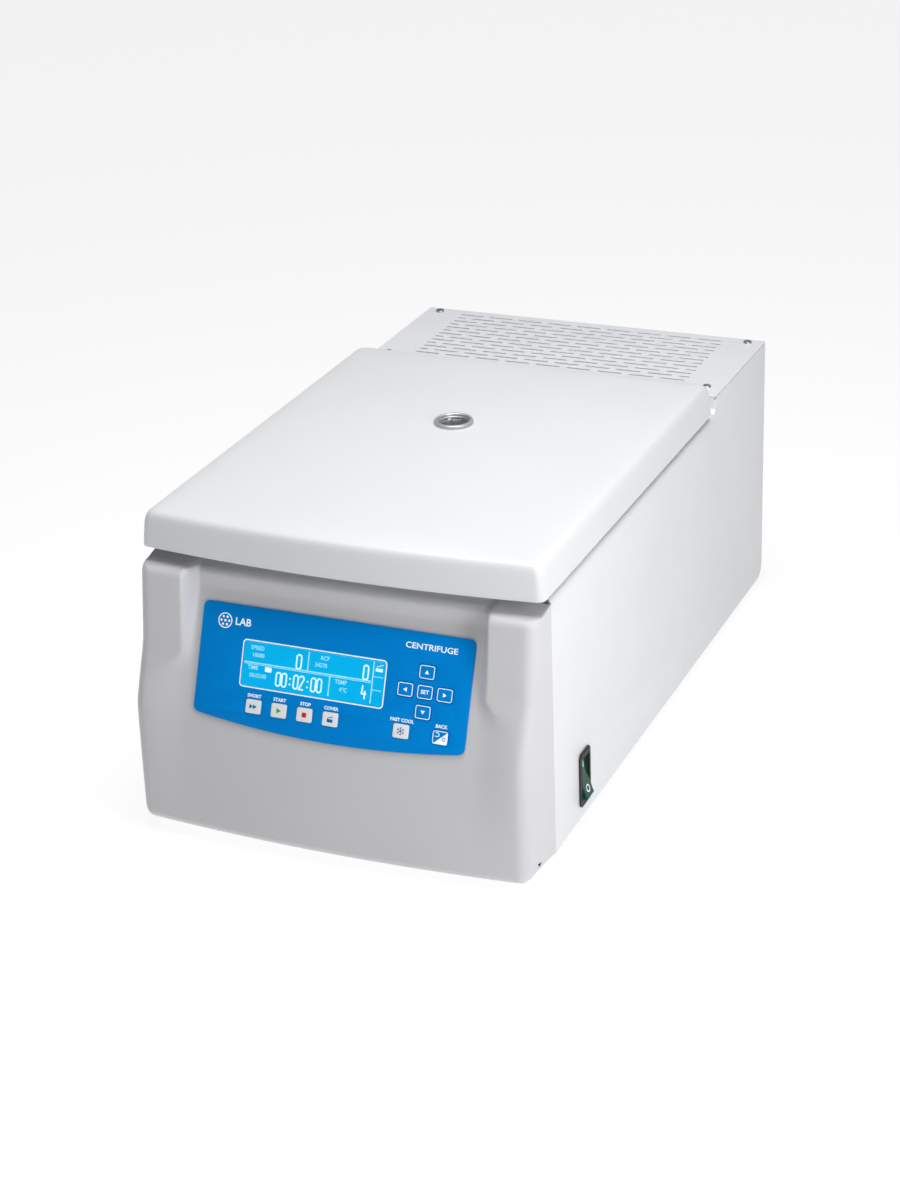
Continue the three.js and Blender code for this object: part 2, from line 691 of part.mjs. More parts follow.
// Pressed steel plate under the lid, with the lugs that turn on the hinge rod.
const lidLiner = () => {
  const outline = lidOutline(LINER.inset);
  const port = arc(0, CHAMBER_Y, PORT.tubeR + 0.6, 0, 340, 17);
  const plate = prism(outline, 'z', LINER.z0, LINER.z1, [port]);
  const notched = cut(plate, ...hingeNotches(HINGE.y - 9, LID.back, LINER.z0 - 5, LINER.z1 + 5));
  const lugs = [];
  [-1, 1].forEach((side) => [-1, 1].forEach((flank) => {
    const x = side * HINGE.x + flank * (HINGE.armHalf + 1 + HINGE.lug / 2);
    const [near, far] = [x - HINGE.lug / 2, x + HINGE.lug / 2];
    lugs.push(block([near, HINGE.y - 14, LINER.z0 + 0.2], [far, HINGE.y + 3.8, HINGE.z]));
    lugs.push(bar([near, HINGE.y, HINGE.z], [far, HINGE.y, HINGE.z], 3.8, 12));
  }));
  const rodHole = (side) => {
    const x = side * HINGE.x;
    return bar([x - 30, HINGE.y, HINGE.z], [x + 30, HINGE.y, HINGE.z], HINGE.rodR + GAP, 10);
  };
  return cut(join(notched, ...lugs), rodHole(-1), rodHole(1));
};

// One long rod through both arms and all four lugs.
const hingeRod = () => {
  const half = HINGE.x + HINGE.armHalf + 1 + HINGE.lug + 1.5;
  return bar([-half, HINGE.y, HINGE.z], [half, HINGE.y, HINGE.z], HINGE.rodR, 12);
};

// Upright arm on the deck that carries one end of the lid.
const hingeArm = (side) => {
  const x = side * HINGE.x;
  const foot = block(
    [x - HINGE.armHalf, HINGE.y - 14, DECK_TOP + GAP],
    [x + HINGE.armHalf, HINGE.y + 14, DECK_TOP + 3],
  );
  const web = block(
    [x - HINGE.armHalf, HINGE.y - HINGE.bossR, DECK_TOP + 1],
    [x + HINGE.armHalf, HINGE.y + HINGE.bossR, HINGE.z],
  );
  const ends = [[x - HINGE.armHalf, HINGE.y, HINGE.z], [x + HINGE.armHalf, HINGE.y, HINGE.z]];
  const boss = bar(...ends, HINGE.bossR, 16);
  const hole = bar([x - 20, HINGE.y, HINGE.z], [x + 20, HINGE.y, HINGE.z], HINGE.rodR + GAP, 10);
  return cut(join(foot, web, boss), hole);
};

const portRing = () => turned([
  [PORT.boreR, LINER.z0],
  [PORT.tubeR, LINER.z0],
  [PORT.tubeR, PORT.top - PORT.flange + 0.6],
  [PORT.flangeR, PORT.top - PORT.flange + 0.6],
  [PORT.flangeR, PORT.top - 1],
  [PORT.flangeR - 1, PORT.top],
  [PORT.tubeR + 0.6, PORT.top],
  [PORT.tubeR - 0.4, PORT.top - 2.4],
  [PORT.boreR + 1.4, PORT.top - 2.8],
  [PORT.boreR + 1.4, PORT.top - 7],
  [PORT.boreR, PORT.top - 7],
  [PORT.boreR, LINER.z0],
], 0, CHAMBER_Y, 24);

const portGlass = () => turned([
  [0, PORT.top - 6.7],
  [PORT.boreR + 1.1, PORT.top - 6.7],
  [PORT.boreR + 1.1, PORT.top - 3.7],
  [0, PORT.top - 3.7],
], 0, CHAMBER_Y, 20);

const lidStriker = () => {
  const { y, z, plate, noseOut } = LATCH;
  const low = z + 8.3;
  const body = block([-9, y - plate / 2, low], [9, y + plate / 2, LINER.z0 - GAP]);
  const pad = block([-13, y - 7, LINER.z0 - 2.3], [13, y + 7, LINER.z0 - GAP]);
  const eye = block([-6, y - 5, low + 1.6], [6, y + 5, z + noseOut + 3]);
  return cut(join(body, pad), eye);
};

// ---------- lid lock ----------

const latchBody = () => {
  const { y, z } = LATCH;
  const roof = DECK_TOP - DECK_SHEET - GAP;
  const flank = (side) => block([side * 13 - 1, y - 12, z - 20], [side * 13 + 1, y + 26, roof]);
  const rear = block([-14, y + 24, z - 20], [14, y + 26, roof]);
  const lip = (side) => block([side * 19 - 6.5, y - 12, roof - 2], [side * 19 + 6.5, y + 26, roof]);
  const pivot = bar([-20, y, z], [20, y, z], 3 + GAP, 14);
  return cut(join(flank(-1), flank(1), rear, lip(-1), lip(1)), pivot);
};

const latchHook = () => {
  const { y, z, hubR, noseIn, noseOut } = LATCH;
  const hub = bar([-5, y, z], [5, y, z], hubR, 18);
  const pivot = bar([-16, y, z], [16, y, z], 3, 14);
  const nose = prism([...arc(y, z, noseOut, 30, 114, 7), ...arc(y, z, noseIn, 114, 30, 7)], 'x', -4, 4);
  const web = prism([...arc(y, z, noseOut - 1, 30, 52, 2), ...arc(y, z, hubR - 2, 62, 20, 2)], 'x', -4, 4);
  return join(hub, pivot, nose, web);
};

// ---------- chamber ----------

const chamberBowl = () => turned([
  [BOWL_HOLE_R, BOWL_FLOOR - BOWL_SHEET],
  [BOWL_R - 12, BOWL_FLOOR - BOWL_SHEET],
  [BOWL_R - 2, BOWL_FLOOR + 5],
  [BOWL_R + BOWL_SHEET, BOWL_FLOOR + 16],
  [BOWL_R + BOWL_SHEET, DECK_TOP + GAP],
  [BOWL_RIM_R, DECK_TOP + GAP],
  [BOWL_RIM_R, DECK_TOP + GAP + BOWL_SHEET],
  [BOWL_R + 1.5, DECK_TOP + GAP + BOWL_SHEET],
  [BOWL_R, DECK_TOP - 1],
  [BOWL_R, BOWL_FLOOR + 17],
  [BOWL_R - 3, BOWL_FLOOR + 8],
  [BOWL_R - 13, BOWL_FLOOR],
  [BOWL_HOLE_R, BOWL_FLOOR],
  [BOWL_HOLE_R, BOWL_FLOOR - BOWL_SHEET],
], 0, CHAMBER_Y, 28);

const chamberSeal = () => {
  const low = DECK_TOP + 2 * GAP + BOWL_SHEET;
  const high = LINER.z0 - GAP;
  return turned([
    [BOWL_R + 2.5, low],
    [BOWL_R + 10, low],
    [BOWL_R + 7.5, high],
    [BOWL_R + 4, high],
    [BOWL_R + 2.5, low],
  ], 0, CHAMBER_Y, 32);
};

const evaporatorCoil = () => {
  class Helix extends THREE.Curve {
    getPoint(t, target = new THREE.Vector3()) {
      const angle = t * COIL.turns * 2 * Math.PI;
      const z = COIL.z0 + t * COIL.turns * COIL.pitch;
      return target.set(COIL.r * Math.cos(angle), CHAMBER_Y + COIL.r * Math.sin(angle), z);
    }
  }
  const section = shapeOf(arc(0, 0, COIL.tube, 0, 288, 4));
  const steps = COIL.turns * COIL.steps;
  return solid(new THREE.ExtrudeGeometry(section, { steps, extrudePath: new Helix(), bevelEnabled: false }));
};

// ---------- drive ----------

const motor = () => {
  const y = CHAMBER_Y;
  const body = turned([
    [0, MOTOR.bottom],
    [MOTOR.bodyR - 3, MOTOR.bottom],
    [MOTOR.bodyR, MOTOR.bottom + 3],
    [MOTOR.bodyR, MOTOR.flangeZ + GAP],
    [MOTOR.flangeR, MOTOR.flangeZ + GAP],
    [MOTOR.flangeR, MOTOR.flangeZ + 6],
    [MOTOR.bodyR, MOTOR.flangeZ + 8],
    [MOTOR.bodyR - 6, MOTOR.top],
    [16, MOTOR.top + 2],
    [14, MOTOR.boss],
    [0, MOTOR.boss],
  ], 0, y, 20);
  return cut(body, bar([0, y, MOTOR.boss - 22], [0, y, MOTOR.boss + 5], SHAFT_R + GAP, 20));
};

const motorPlate = () => {
  const y = CHAMBER_Y;
  const hole = arc(0, y, MOTOR.bodyR + 1, 0, 345, 23);
  return prism(arc(0, y, 84, 0, 350, 35), 'z', MOTOR.flangeZ - 4, MOTOR.flangeZ, [hole]);
};

const DAMPER_PLACES = [['damper_front', -90], ['damper_rear_right', 30], ['damper_rear_left', 150]];
const damper = (degrees) => {
  const angle = THREE.MathUtils.degToRad(degrees);
  const x = DAMPER.circle * Math.cos(angle);
  const y = CHAMBER_Y + DAMPER.circle * Math.sin(angle);
  return turned([
    [0, SHEET + GAP],
    [DAMPER.r, SHEET + GAP],
    [DAMPER.r - 3, 16],
    [DAMPER.r, DAMPER.top - GAP],
    [0, DAMPER.top - GAP],
  ], x, y, 16);
};

const motorShaft = () => turned([
  [0, MOTOR.boss - 21],
  [SHAFT_R, MOTOR.boss - 21],
  [SHAFT_R, ROTOR.bottom + 14],
  [SHAFT_R - 1.6, ROTOR.bottom + 37.5],
  [4, ROTOR.bottom + 37.5],
  [4, ROTOR.top - 10],
  [0, ROTOR.top - 10],
], 0, CHAMBER_Y, 20);

const rotorBody = () => {
  const y = CHAMBER_Y;
  const { bottom, top, bottomR, topR } = ROTOR;
  let body = turned([
    [0, bottom],
    [bottomR - 26, bottom],
    [bottomR - 3, bottom + 2],
    [bottomR + 8, bottom + 16],
    [topR, top - 18],
    [topR, top - 3],
    [topR - 3, top],
    [topR - 6, top],
    [topR - 6, top - 8],
    [30, top - 8],
    [26, top],
    [0, top],
  ], 0, y, 24);
  const angle = THREE.MathUtils.degToRad(ROTOR.boreAngle);
  for (let i = 0; i < ROTOR.bores; i += 1) {
    const turn = (2 * Math.PI * (i + 0.5)) / ROTOR.bores;
    const along = (depth) => {
      const radius = ROTOR.mouthR + depth * Math.sin(angle);
      return [radius * Math.cos(turn), y + radius * Math.sin(turn), top - 8 - depth * Math.cos(angle)];
    };
    body = body.subtract(bar(along(-12), along(ROTOR.boreDepth), ROTOR.boreR, 12));
  }
  const socket = join(
    bar([0, y, bottom - 5], [0, y, bottom + 15], SHAFT_R + GAP, 20),
    bar([0, y, bottom + 14], [0, y, bottom + 38.5], SHAFT_R + GAP, 20, SHAFT_R - 1.6 + GAP),
    bar([0, y, bottom + 38], [0, y, top + 5], 4 + GAP, 20),
  );
  return cut(body, socket);
};

// Screw-down lid of the rotor with its knob.
const rotorCover = () => {
  const { top, topR } = ROTOR;
  return turned([
    [0, top + GAP],
    [26, top + GAP],
    [30.5, top - 6],
    [topR - 9, top - 6],
    [topR - 6.6, top - 3],
    [topR - 6.6, top],
    [topR - 12, top + 3],
    [34, top + 6],
    [16, top + 8],
    [13, top + 12],
    [16, top + 14],
    [16, top + 24],
    [14, top + 26],
    [0, top + 26],
  ], 0, CHAMBER_Y, 24);
};

// ---------- cooling system ----------

const compressor = () => turned([
  [0, 9],
  [40, 9],
  [52, 14],
  [56, 26],
  [56, 98],
  [50, 116],
  [36, 127],
  [0, 131],
], -92, 470, 20);

const condenser = () => {
  const x0 = FAN.x - 72;
  const x1 = FAN.x + 72;
  const fins = [];
  for (let i = 0; i < 12; i += 1) {
    const x = x0 + 4 + (i * (x1 - x0 - 10)) / 11;
    fins.push(block([x, 512, 24], [x + 2, 548, 192]));
  }
  const plates = [block([x0, 512, 20], [x1, 548, 25]), block([x0, 512, 191], [x1, 548, 196])];
  return join(...plates, ...fins);
};

const fanFrame = () => {
  const half = FAN.size / 2;
  const outline = roundedRectangle(FAN.x - half, FAN.x + half, FAN.z - half, FAN.z + half, 8);
  const ring = prism(outline, 'y', FAN.y0, FAN.y1, [arc(FAN.x, FAN.z, FAN.r + 3, 0, 340, 17)]);
  const struts = [0, 60, 120].map((degrees) => {
    const angle = THREE.MathUtils.degToRad(degrees);
    const dx = (FAN.r + 5) * Math.cos(angle);
    const dz = (FAN.r + 5) * Math.sin(angle);
    const y = FAN.y0 + 1.5;
    return bar([FAN.x - dx, y, FAN.z - dz], [FAN.x + dx, y, FAN.z + dz], 1.5, 6);
  });
  const hub = bar([FAN.x, FAN.y0, FAN.z], [FAN.x, FAN.y0 + 5, FAN.z], 22, 20);
  return join(ring, ...struts, hub);
};

const fanImpeller = () => {
  const start = [FAN.x, FAN.y0 + 5 + GAP, FAN.z];
  const hub = bar(start, [FAN.x, FAN.y1 - 2, FAN.z], 24, 20);
  const blades = [];
  for (let i = 0; i < 5; i += 1) {
    const blade = block([20, -1, -15], [FAN.r, 1, 15]).rotate([-28, 0, 0]);
    blades.push(blade.rotate([0, i * 72, 0]).translate([FAN.x, (FAN.y0 + FAN.y1) / 2 + 1.5, FAN.z]));
  }
  return join(hub, ...blades);
};

// Copper line from the compressor to the coil round the chamber.
const refrigerantLine = () => {
  const path = new THREE.CatmullRomCurve3([
    new THREE.Vector3(-92, 470, 131.5),
    new THREE.Vector3(-92, 470, 160),
    new THREE.Vector3(-92, 440, 196),
    new THREE.Vector3(-70, 390, 206),
    new THREE.Vector3(-30, 372, 200),
    new THREE.Vector3(20, 368, 180),
  ]);
  const section = shapeOf(arc(0, 0, 3, 0, 300, 5));
  return solid(new THREE.ExtrudeGeometry(section, { steps: 18, extrudePath: path, bevelEnabled: false }));
};

// ---------- electrics ----------

const driveBoard = () => {
  const parts = [block([-150, 14, 14], [120, 96, 16])];
  parts.push(block([-140, 26, 15], [-84, 84, 50]));
  parts.push(block([-60, 30, 15], [-36, 84, 42]));
  parts.push(bar([-8, 40, 15], [-8, 40, 46], 12, 16));
  parts.push(bar([-8, 70, 15], [-8, 70, 46], 12, 16));
  parts.push(block([20, 24, 15], [110, 40, 38]));
  parts.push(block([30, 56, 15], [70, 86, 24]));
  const posts = [[-144, 20], [-144, 90], [114, 20], [114, 90]];
  posts.forEach(([x, y]) => parts.push(bar([x, y, SHEET + GAP], [x, y, 15], 3, 8)));
  return join(...parts);
};

// Three-pin appliance inlet, standard 27 x 20 mm well.
const powerInlet = () => {
  const { x, z } = INLET;
  const face = REAR - GAP;
  const bevel = 5;
  const well = [
    [x - 12, z - 8.25], [x + 12, z - 8.25], [x + 12, z + 8.25 - bevel],
    [x + 12 - bevel, z + 8.25], [x - 12 + bevel, z + 8.25], [x - 12, z + 8.25 - bevel],
  ];
  const flange = prism(roundedRectangle(x - 25, x + 25, z - 15, z + 15, 3), 'y', face + GAP, rearmost);
  const can = block([x - 14, face - 22, z - 12], [x + 14, face + 1, z + 12]);
  const socket = prism(well, 'y', face - 16, rearmost + 3);
  const pins = [[0, 2], [-7, -2], [7, -2]].map(([dx, dz]) =>
    block([x + dx - 1, face - 17, z + dz - 2], [x + dx + 1, face - 3, z + dz + 2]));
  return join(cut(join(flange, can), socket), ...pins);
};

// ---------- assembly ----------

place('base_pan', basePan(), M.zinc);
[['foot_front_left', -112, 30], ['foot_front_right', 112, 30],
  ['foot_rear_left', -112, 560], ['foot_rear_right', 112, 560]]
  .forEach(([name, x, y]) => place(name, foot(x, y), M.rubber));
place('side_panel_left', sidePanel(-1), M.coat);
place('side_panel_right', sidePanel(1), M.coat);
place('rear_panel', rearPanel(), M.coat);
place('deck_plate', deckPlate(), M.coat);
place('hump_front_panel', humpFront(), M.coat);
place('top_grille', topGrille(), M.coat);
SCREW_PLACES.forEach(([name, x, y]) => place(name, grilleScrew(x, y), M.zinc));

place('front_bezel', frontBezel(), M.bezel);
place('control_label', controlLabel(), M.label, consoleGroup);
place('lcd_window', lcdWindow(), M.screen, consoleGroup);
place('display_board', displayBoard(), M.board, consoleGroup);
KEYS.forEach(([name, x, s]) => {
  const blue = /up|down|left|right|set/.test(name);
  place(name, keyCap(), blue ? M.keyBlue : M.keyWhite, consoleGroup).position.set(x, s, KEY.from);
});
place('switch_frame', switchFrame(), M.black);
place('switch_rocker', rocker(), M.green);

place('lid_shell', lidShell(), M.lid);
place('lid_liner', lidLiner(), M.coat);
place('port_ring', portRing(), M.alu);
place('port_glass', portGlass(), M.glass);
place('lid_striker', lidStriker(), M.zinc);
place('hinge_rod', hingeRod(), M.steel);
place('hinge_arm_left', hingeArm(-1), M.zinc);
place('hinge_arm_right', hingeArm(1), M.zinc);
place('latch_body', latchBody(), M.zinc);
place('latch_hook', latchHook(), M.steel);

place('chamber_bowl', chamberBowl(), M.steel);
place('chamber_seal', chamberSeal(), M.seal);
place('evaporator_coil', evaporatorCoil(), M.copper);
place('motor', motor(), M.enamel);
place('motor_plate', motorPlate(), M.zinc);
DAMPER_PLACES.forEach(([name, degrees]) => place(name, damper(degrees), M.rubber));
place('motor_shaft', motorShaft(), M.steel);
place('rotor', rotorBody(), M.rotor);
place('rotor_cover', rotorCover(), M.alu);
place('compressor', compressor(), M.enamel);
place('condenser', condenser(), M.alu);
place('fan_frame', fanFrame(), M.black);
place('fan_impeller', fanImpeller(), M.black);
place('refrigerant_line', refrigerantLine(), M.copper);
place('drive_board', driveBoard(), M.board);
place('power_inlet', powerInlet(), M.black);

export default centrifuge;
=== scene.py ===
"""Looks of the refrigerated bench-top laboratory centrifuge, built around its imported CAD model.

Outlines are given in the machine's own millimetres, as in part.mjs: x to the right, y to the back
from the seam between bezel and side panels, z up from the underside of the base pan.
"""
import math

import bmesh
import bpy
from mathutils import Matrix, Vector


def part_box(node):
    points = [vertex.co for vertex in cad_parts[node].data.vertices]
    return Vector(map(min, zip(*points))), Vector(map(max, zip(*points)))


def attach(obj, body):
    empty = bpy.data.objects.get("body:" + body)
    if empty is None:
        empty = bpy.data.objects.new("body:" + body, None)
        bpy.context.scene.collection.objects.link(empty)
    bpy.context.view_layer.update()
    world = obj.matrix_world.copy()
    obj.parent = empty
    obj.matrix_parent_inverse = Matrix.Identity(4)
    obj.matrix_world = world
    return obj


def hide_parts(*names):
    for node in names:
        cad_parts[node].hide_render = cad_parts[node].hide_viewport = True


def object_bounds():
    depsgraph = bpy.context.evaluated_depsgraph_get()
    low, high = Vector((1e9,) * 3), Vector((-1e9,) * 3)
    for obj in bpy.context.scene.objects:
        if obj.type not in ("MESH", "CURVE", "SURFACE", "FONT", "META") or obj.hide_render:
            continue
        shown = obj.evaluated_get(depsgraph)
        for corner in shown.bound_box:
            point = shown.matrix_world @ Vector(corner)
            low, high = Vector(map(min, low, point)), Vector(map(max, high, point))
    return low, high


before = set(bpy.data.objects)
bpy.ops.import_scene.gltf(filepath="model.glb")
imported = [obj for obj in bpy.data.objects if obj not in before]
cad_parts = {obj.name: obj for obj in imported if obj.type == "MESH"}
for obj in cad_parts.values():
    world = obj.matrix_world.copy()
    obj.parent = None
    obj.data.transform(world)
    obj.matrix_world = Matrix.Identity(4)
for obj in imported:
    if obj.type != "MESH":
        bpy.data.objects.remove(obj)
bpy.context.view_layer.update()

MM = 0.001
BEZEL_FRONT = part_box("front_bezel")[0].y + 0.00005
SEAM_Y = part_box("front_bezel")[1].y
PAN_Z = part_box("base_pan")[0].z


def at(x, y, z):
    """A point of the machine in metres in the row frame."""
    return Vector((x * MM, SEAM_Y + y * MM, PAN_Z + z * MM))


# ---------- driving dimensions, as in part.mjs ----------

HALF = 182.5
REAR = 605.6
UNDER = -3.6
GAP = 0.3
SHEET = 1.5
REAR_CORNER = 14
SIDE_TOP = 235
SIDE_EDGE = 5
HUMP_TOP = 252.3
HUMP_FRONT = 441.5
STEP_BEVEL = 4.5
DECK_TOP = 233
DECK_SHEET = 2
FOOT_HEIGHT = 13.6
FOOT_X = 112

CHAMBER_Y = 235
BOWL_R = 112
BOWL_FLOOR = 88
BOWL_RIM_R = 124
BOWL_HOLE_R = 20

CONSOLE_Y = -36.5
CONSOLE_Z = 160
CONSOLE_SLOPE = 0.40
LABEL_Z = 109.3
LABEL_HALF = 125.6
LABEL_HEIGHT = 95.6
LABEL_SAG = 9.5
LABEL_TOP = 1.5
LCD = (-83.7, 48.0, 27.9, 66.5)
KEY_W = 14.3
KEY_H = 12.0
KEY_FROM = 0.8
KEY_TO = 2.2
ROW_X, ROW_S, ROW_PITCH = -69.2, 11.2, 24
CLUSTER_X, CLUSTER_S, CLUSTER_DX, CLUSTER_DS = 85.5, 46.5, 17.8, 16.8
KEY_PLACES = {
    "key_short": (ROW_X, ROW_S),
    "key_start": (ROW_X + ROW_PITCH, ROW_S),
    "key_stop": (ROW_X + 2 * ROW_PITCH, ROW_S),
    "key_cover": (ROW_X + 3 * ROW_PITCH, ROW_S),
    "key_fast_cool": (CLUSTER_X - CLUSTER_DX, ROW_S),
    "key_back": (CLUSTER_X + CLUSTER_DX, ROW_S),
    "key_up": (CLUSTER_X, CLUSTER_S + CLUSTER_DS),
    "key_left": (CLUSTER_X - CLUSTER_DX, CLUSTER_S),
    "key_set": (CLUSTER_X, CLUSTER_S),
    "key_right": (CLUSTER_X + CLUSTER_DX, CLUSTER_S),
    "key_down": (CLUSTER_X, CLUSTER_S - CLUSTER_DS),
}

LID_HALF = 184.5
LID_BOTTOM = 239.6
LID_BACK = 427.5
LID_FRONT = -32
LID_BOW = 11
LID_CORNER = 8
LID_RIM_TOP = 272.2
LID_DOME = 7.8
HINGE_Y, HINGE_Z, HINGE_X = 416.5, 258, 118
ARM_HALF, BOSS_R, ROD_R, LUG = 8, 4.4, 2.2, 4
NOTCH_HALF = 17
PORT_FLANGE_R, PORT_TUBE_R, PORT_BORE_R, PORT_TOP = 18, 15, 12.5, 283.2
LINER_Z0, LINER_Z1, LINER_INSET = 243, 244.5, 9

LOCK_Y, LOCK_Z = 18, 197
SWITCH_Y, SWITCH_Z = 70.5, 34
ROCKER_X = HALF - 2
ROTOR_BOTTOM, ROTOR_TOP = 104, 178
FAN_X, FAN_Z, FAN_R, FAN_Y0, FAN_Y1 = 72, 108, 66, 560, 584
INLET_X, INLET_Z = -125, 44


# ---------- outlines ----------

def arc(cu, cv, radius, start, end, steps):
    """Points on an arc, angles in degrees."""
    angles = [math.radians(start + (end - start) * i / steps) for i in range(steps + 1)]
    return [(cu + radius * math.cos(a), cv + radius * math.sin(a)) for a in angles]


def circle(cu, cv, radius, count=96):
    return arc(cu, cv, radius, 0, 360 - 360 / count, count - 1)


def rounded(u0, u1, v0, v1, r, steps=6):
    """A rectangle with round corners."""
    points = arc(u1 - r, v0 + r, r, -90, 0, steps)
    points += arc(u1 - r, v1 - r, r, 0, 90, steps)
    points += arc(u0 + r, v1 - r, r, 90, 180, steps)
    return points + arc(u0 + r, v0 + r, r, 180, 270, steps)


def padded(cu, cv, half_u, half_v, r, steps=6):
    """A rectangle with round corners, given by its middle and its half sizes."""
    return rounded(cu - half_u, cu + half_u, cv - half_v, cv + half_v, r, steps)


def smoothstep(low, high, value):
    t = min(1.0, max(0.0, (value - low) / (high - low)))
    return t * t * (3 - 2 * t)


def lerp(a, b, t):
    return a + (b - a) * t


def span(low, high, steps):
    """Evenly spaced values from low to high, both included."""
    return [lerp(low, high, i / steps) for i in range(steps + 1)]


# ---------- materials ----------

def material(name):
    mat = bpy.data.materials.new(name)
    mat.use_nodes = True
    tree = mat.node_tree
    shader = tree.nodes["Principled BSDF"]
    return mat, tree, shader


def node(tree, kind, **values):
    made = tree.nodes.new(kind)
    for key, value in values.items():
        setattr(made, key, value)
    return made


def noise(tree, vector, scale, detail=3.0, rough=0.5):
    made = node(tree, "ShaderNodeTexNoise")
    made.inputs["Scale"].default_value = scale
    made.inputs["Detail"].default_value = detail
    made.inputs["Roughness"].default_value = rough
    tree.links.new(vector, made.inputs["Vector"])
    return made.outputs["Fac"]


def remap(tree, value, low, high, from_low=0.3, from_high=0.7):
    made = node(tree, "ShaderNodeMapRange")
    made.inputs["From Min"].default_value = from_low
    made.inputs["From Max"].default_value = from_high
    made.inputs["To Min"].default_value = low
    made.inputs["To Max"].default_value = high
    tree.links.new(value, made.inputs["Value"])
    return made.outputs["Result"]


def mixed(tree, factor, a, b):
    """A colour mix. a and b are colours or sockets."""
    made = node(tree, "ShaderNodeMix", data_type="RGBA")
    tree.links.new(factor, made.inputs["Factor"])
    for socket, value in (("A", a), ("B", b)):
        target = next(i for i in made.inputs if i.name == socket and i.type == "RGBA")
        if isinstance(value, bpy.types.NodeSocket):
            tree.links.new(value, target)
        else:
            target.default_value = (*value, 1.0)
    return next(o for o in made.outputs if o.type == "RGBA")


def place_vector(tree, stretch=None, ring=None):
    """Object coordinates, stretched for brushing, or turned into radius and height round an axis."""
    coords = node(tree, "ShaderNodeTexCoord").outputs["Object"]
    if ring is not None:
        shift = node(tree, "ShaderNodeVectorMath", operation="SUBTRACT")
        shift.inputs[1].default_value = at(ring[0], ring[1], 0)
        tree.links.new(coords, shift.inputs[0])
        split = node(tree, "ShaderNodeSeparateXYZ")
        tree.links.new(shift.outputs[0], split.inputs[0])
        flat = node(tree, "ShaderNodeCombineXYZ")
        tree.links.new(split.outputs["X"], flat.inputs["X"])
        tree.links.new(split.outputs["Y"], flat.inputs["Y"])
        length = node(tree, "ShaderNodeVectorMath", operation="LENGTH")
        tree.links.new(flat.outputs[0], length.inputs[0])
        out = node(tree, "ShaderNodeCombineXYZ")
        tree.links.new(length.outputs["Value"], out.inputs["X"])
        tree.links.new(split.outputs["Z"], out.inputs["Z"])
        return out.outputs[0]
    if stretch is not None:
        scaled = node(tree, "ShaderNodeVectorMath", operation="MULTIPLY")
        scaled.inputs[1].default_value = stretch
        tree.links.new(coords, scaled.inputs[0])
        return scaled.outputs[0]
    return coords


def surface(name, color, roughness, metallic=0.0, tone=0.03, tone_scale=9.0, grain=900.0, bump=0.02,
            wave=0.0, rough_var=0.05, edge=0.0, coat=0.0, stretch=None, ring=None, gloss=0.5, sheen=0.0):
    """A procedural surface: slow tone change, fine grain in roughness and bump, and sharp edges painted
    lighter as a highlight.
    """
    mat, tree, shader = material(name)
    coords = place_vector(tree)
    fine = place_vector(tree, stretch, ring) if (stretch or ring) else coords
    dark = [c * (1 - tone) for c in color]
    light = [min(1.0, c * (1 + tone)) for c in color]
    cloud = noise(tree, coords, tone_scale, 4.0)
    body = mixed(tree, remap(tree, cloud, 0.0, 1.0), dark, light)
    # Sharp edges, found by pointiness, are painted lighter: a painted edge highlight.
    if edge > 0:
        geometry = node(tree, "ShaderNodeNewGeometry")
        rim = remap(tree, geometry.outputs["Pointiness"], 0.0, edge, 0.52, 0.62)
        painted_edge_highlight = [min(1.0, c * 1.35 + 0.05) for c in color]
        body = mixed(tree, rim, body, painted_edge_highlight)
    tree.links.new(body, shader.inputs["Base Color"])
    speck = noise(tree, fine, grain, 2.0, 0.6)
    blotch = noise(tree, coords, 24.0, 3.0)
    both = node(tree, "ShaderNodeMath", operation="ADD")
    tree.links.new(speck, both.inputs[0])
    tree.links.new(blotch, both.inputs[1])
    low = max(0.02, roughness - rough_var)
    high = min(1.0, roughness + rough_var)
    tree.links.new(remap(tree, both.outputs[0], low, high, 0.7, 1.3), shader.inputs["Roughness"])
    relief = node(tree, "ShaderNodeBump")
    relief.inputs["Strength"].default_value = 0.5
    relief.inputs["Distance"].default_value = bump * MM
    tree.links.new(speck, relief.inputs["Height"])
    if wave > 0:
        slow = node(tree, "ShaderNodeBump")
        slow.inputs["Strength"].default_value = 0.5
        slow.inputs["Distance"].default_value = wave * MM
        tree.links.new(noise(tree, coords, 60.0, 1.0), slow.inputs["Height"])
        tree.links.new(slow.outputs[0], relief.inputs["Normal"])
    tree.links.new(relief.outputs[0], shader.inputs["Normal"])
    shader.inputs["Metallic"].default_value = metallic
    shader.inputs["Specular IOR Level"].default_value = gloss
    shader.inputs["Coat Weight"].default_value = coat
    shader.inputs["Sheen Weight"].default_value = sheen
    return mat


def glass(name, color, roughness=0.02):
    mat, tree, shader = material(name)
    coords = place_vector(tree)
    smear = noise(tree, coords, 45.0, 4.0)
    tree.links.new(remap(tree, smear, roughness, roughness + 0.06), shader.inputs["Roughness"])
    shader.inputs["Base Color"].default_value = (*color, 1)
    shader.inputs["Transmission Weight"].default_value = 1.0
    shader.inputs["IOR"].default_value = 1.45
    return mat


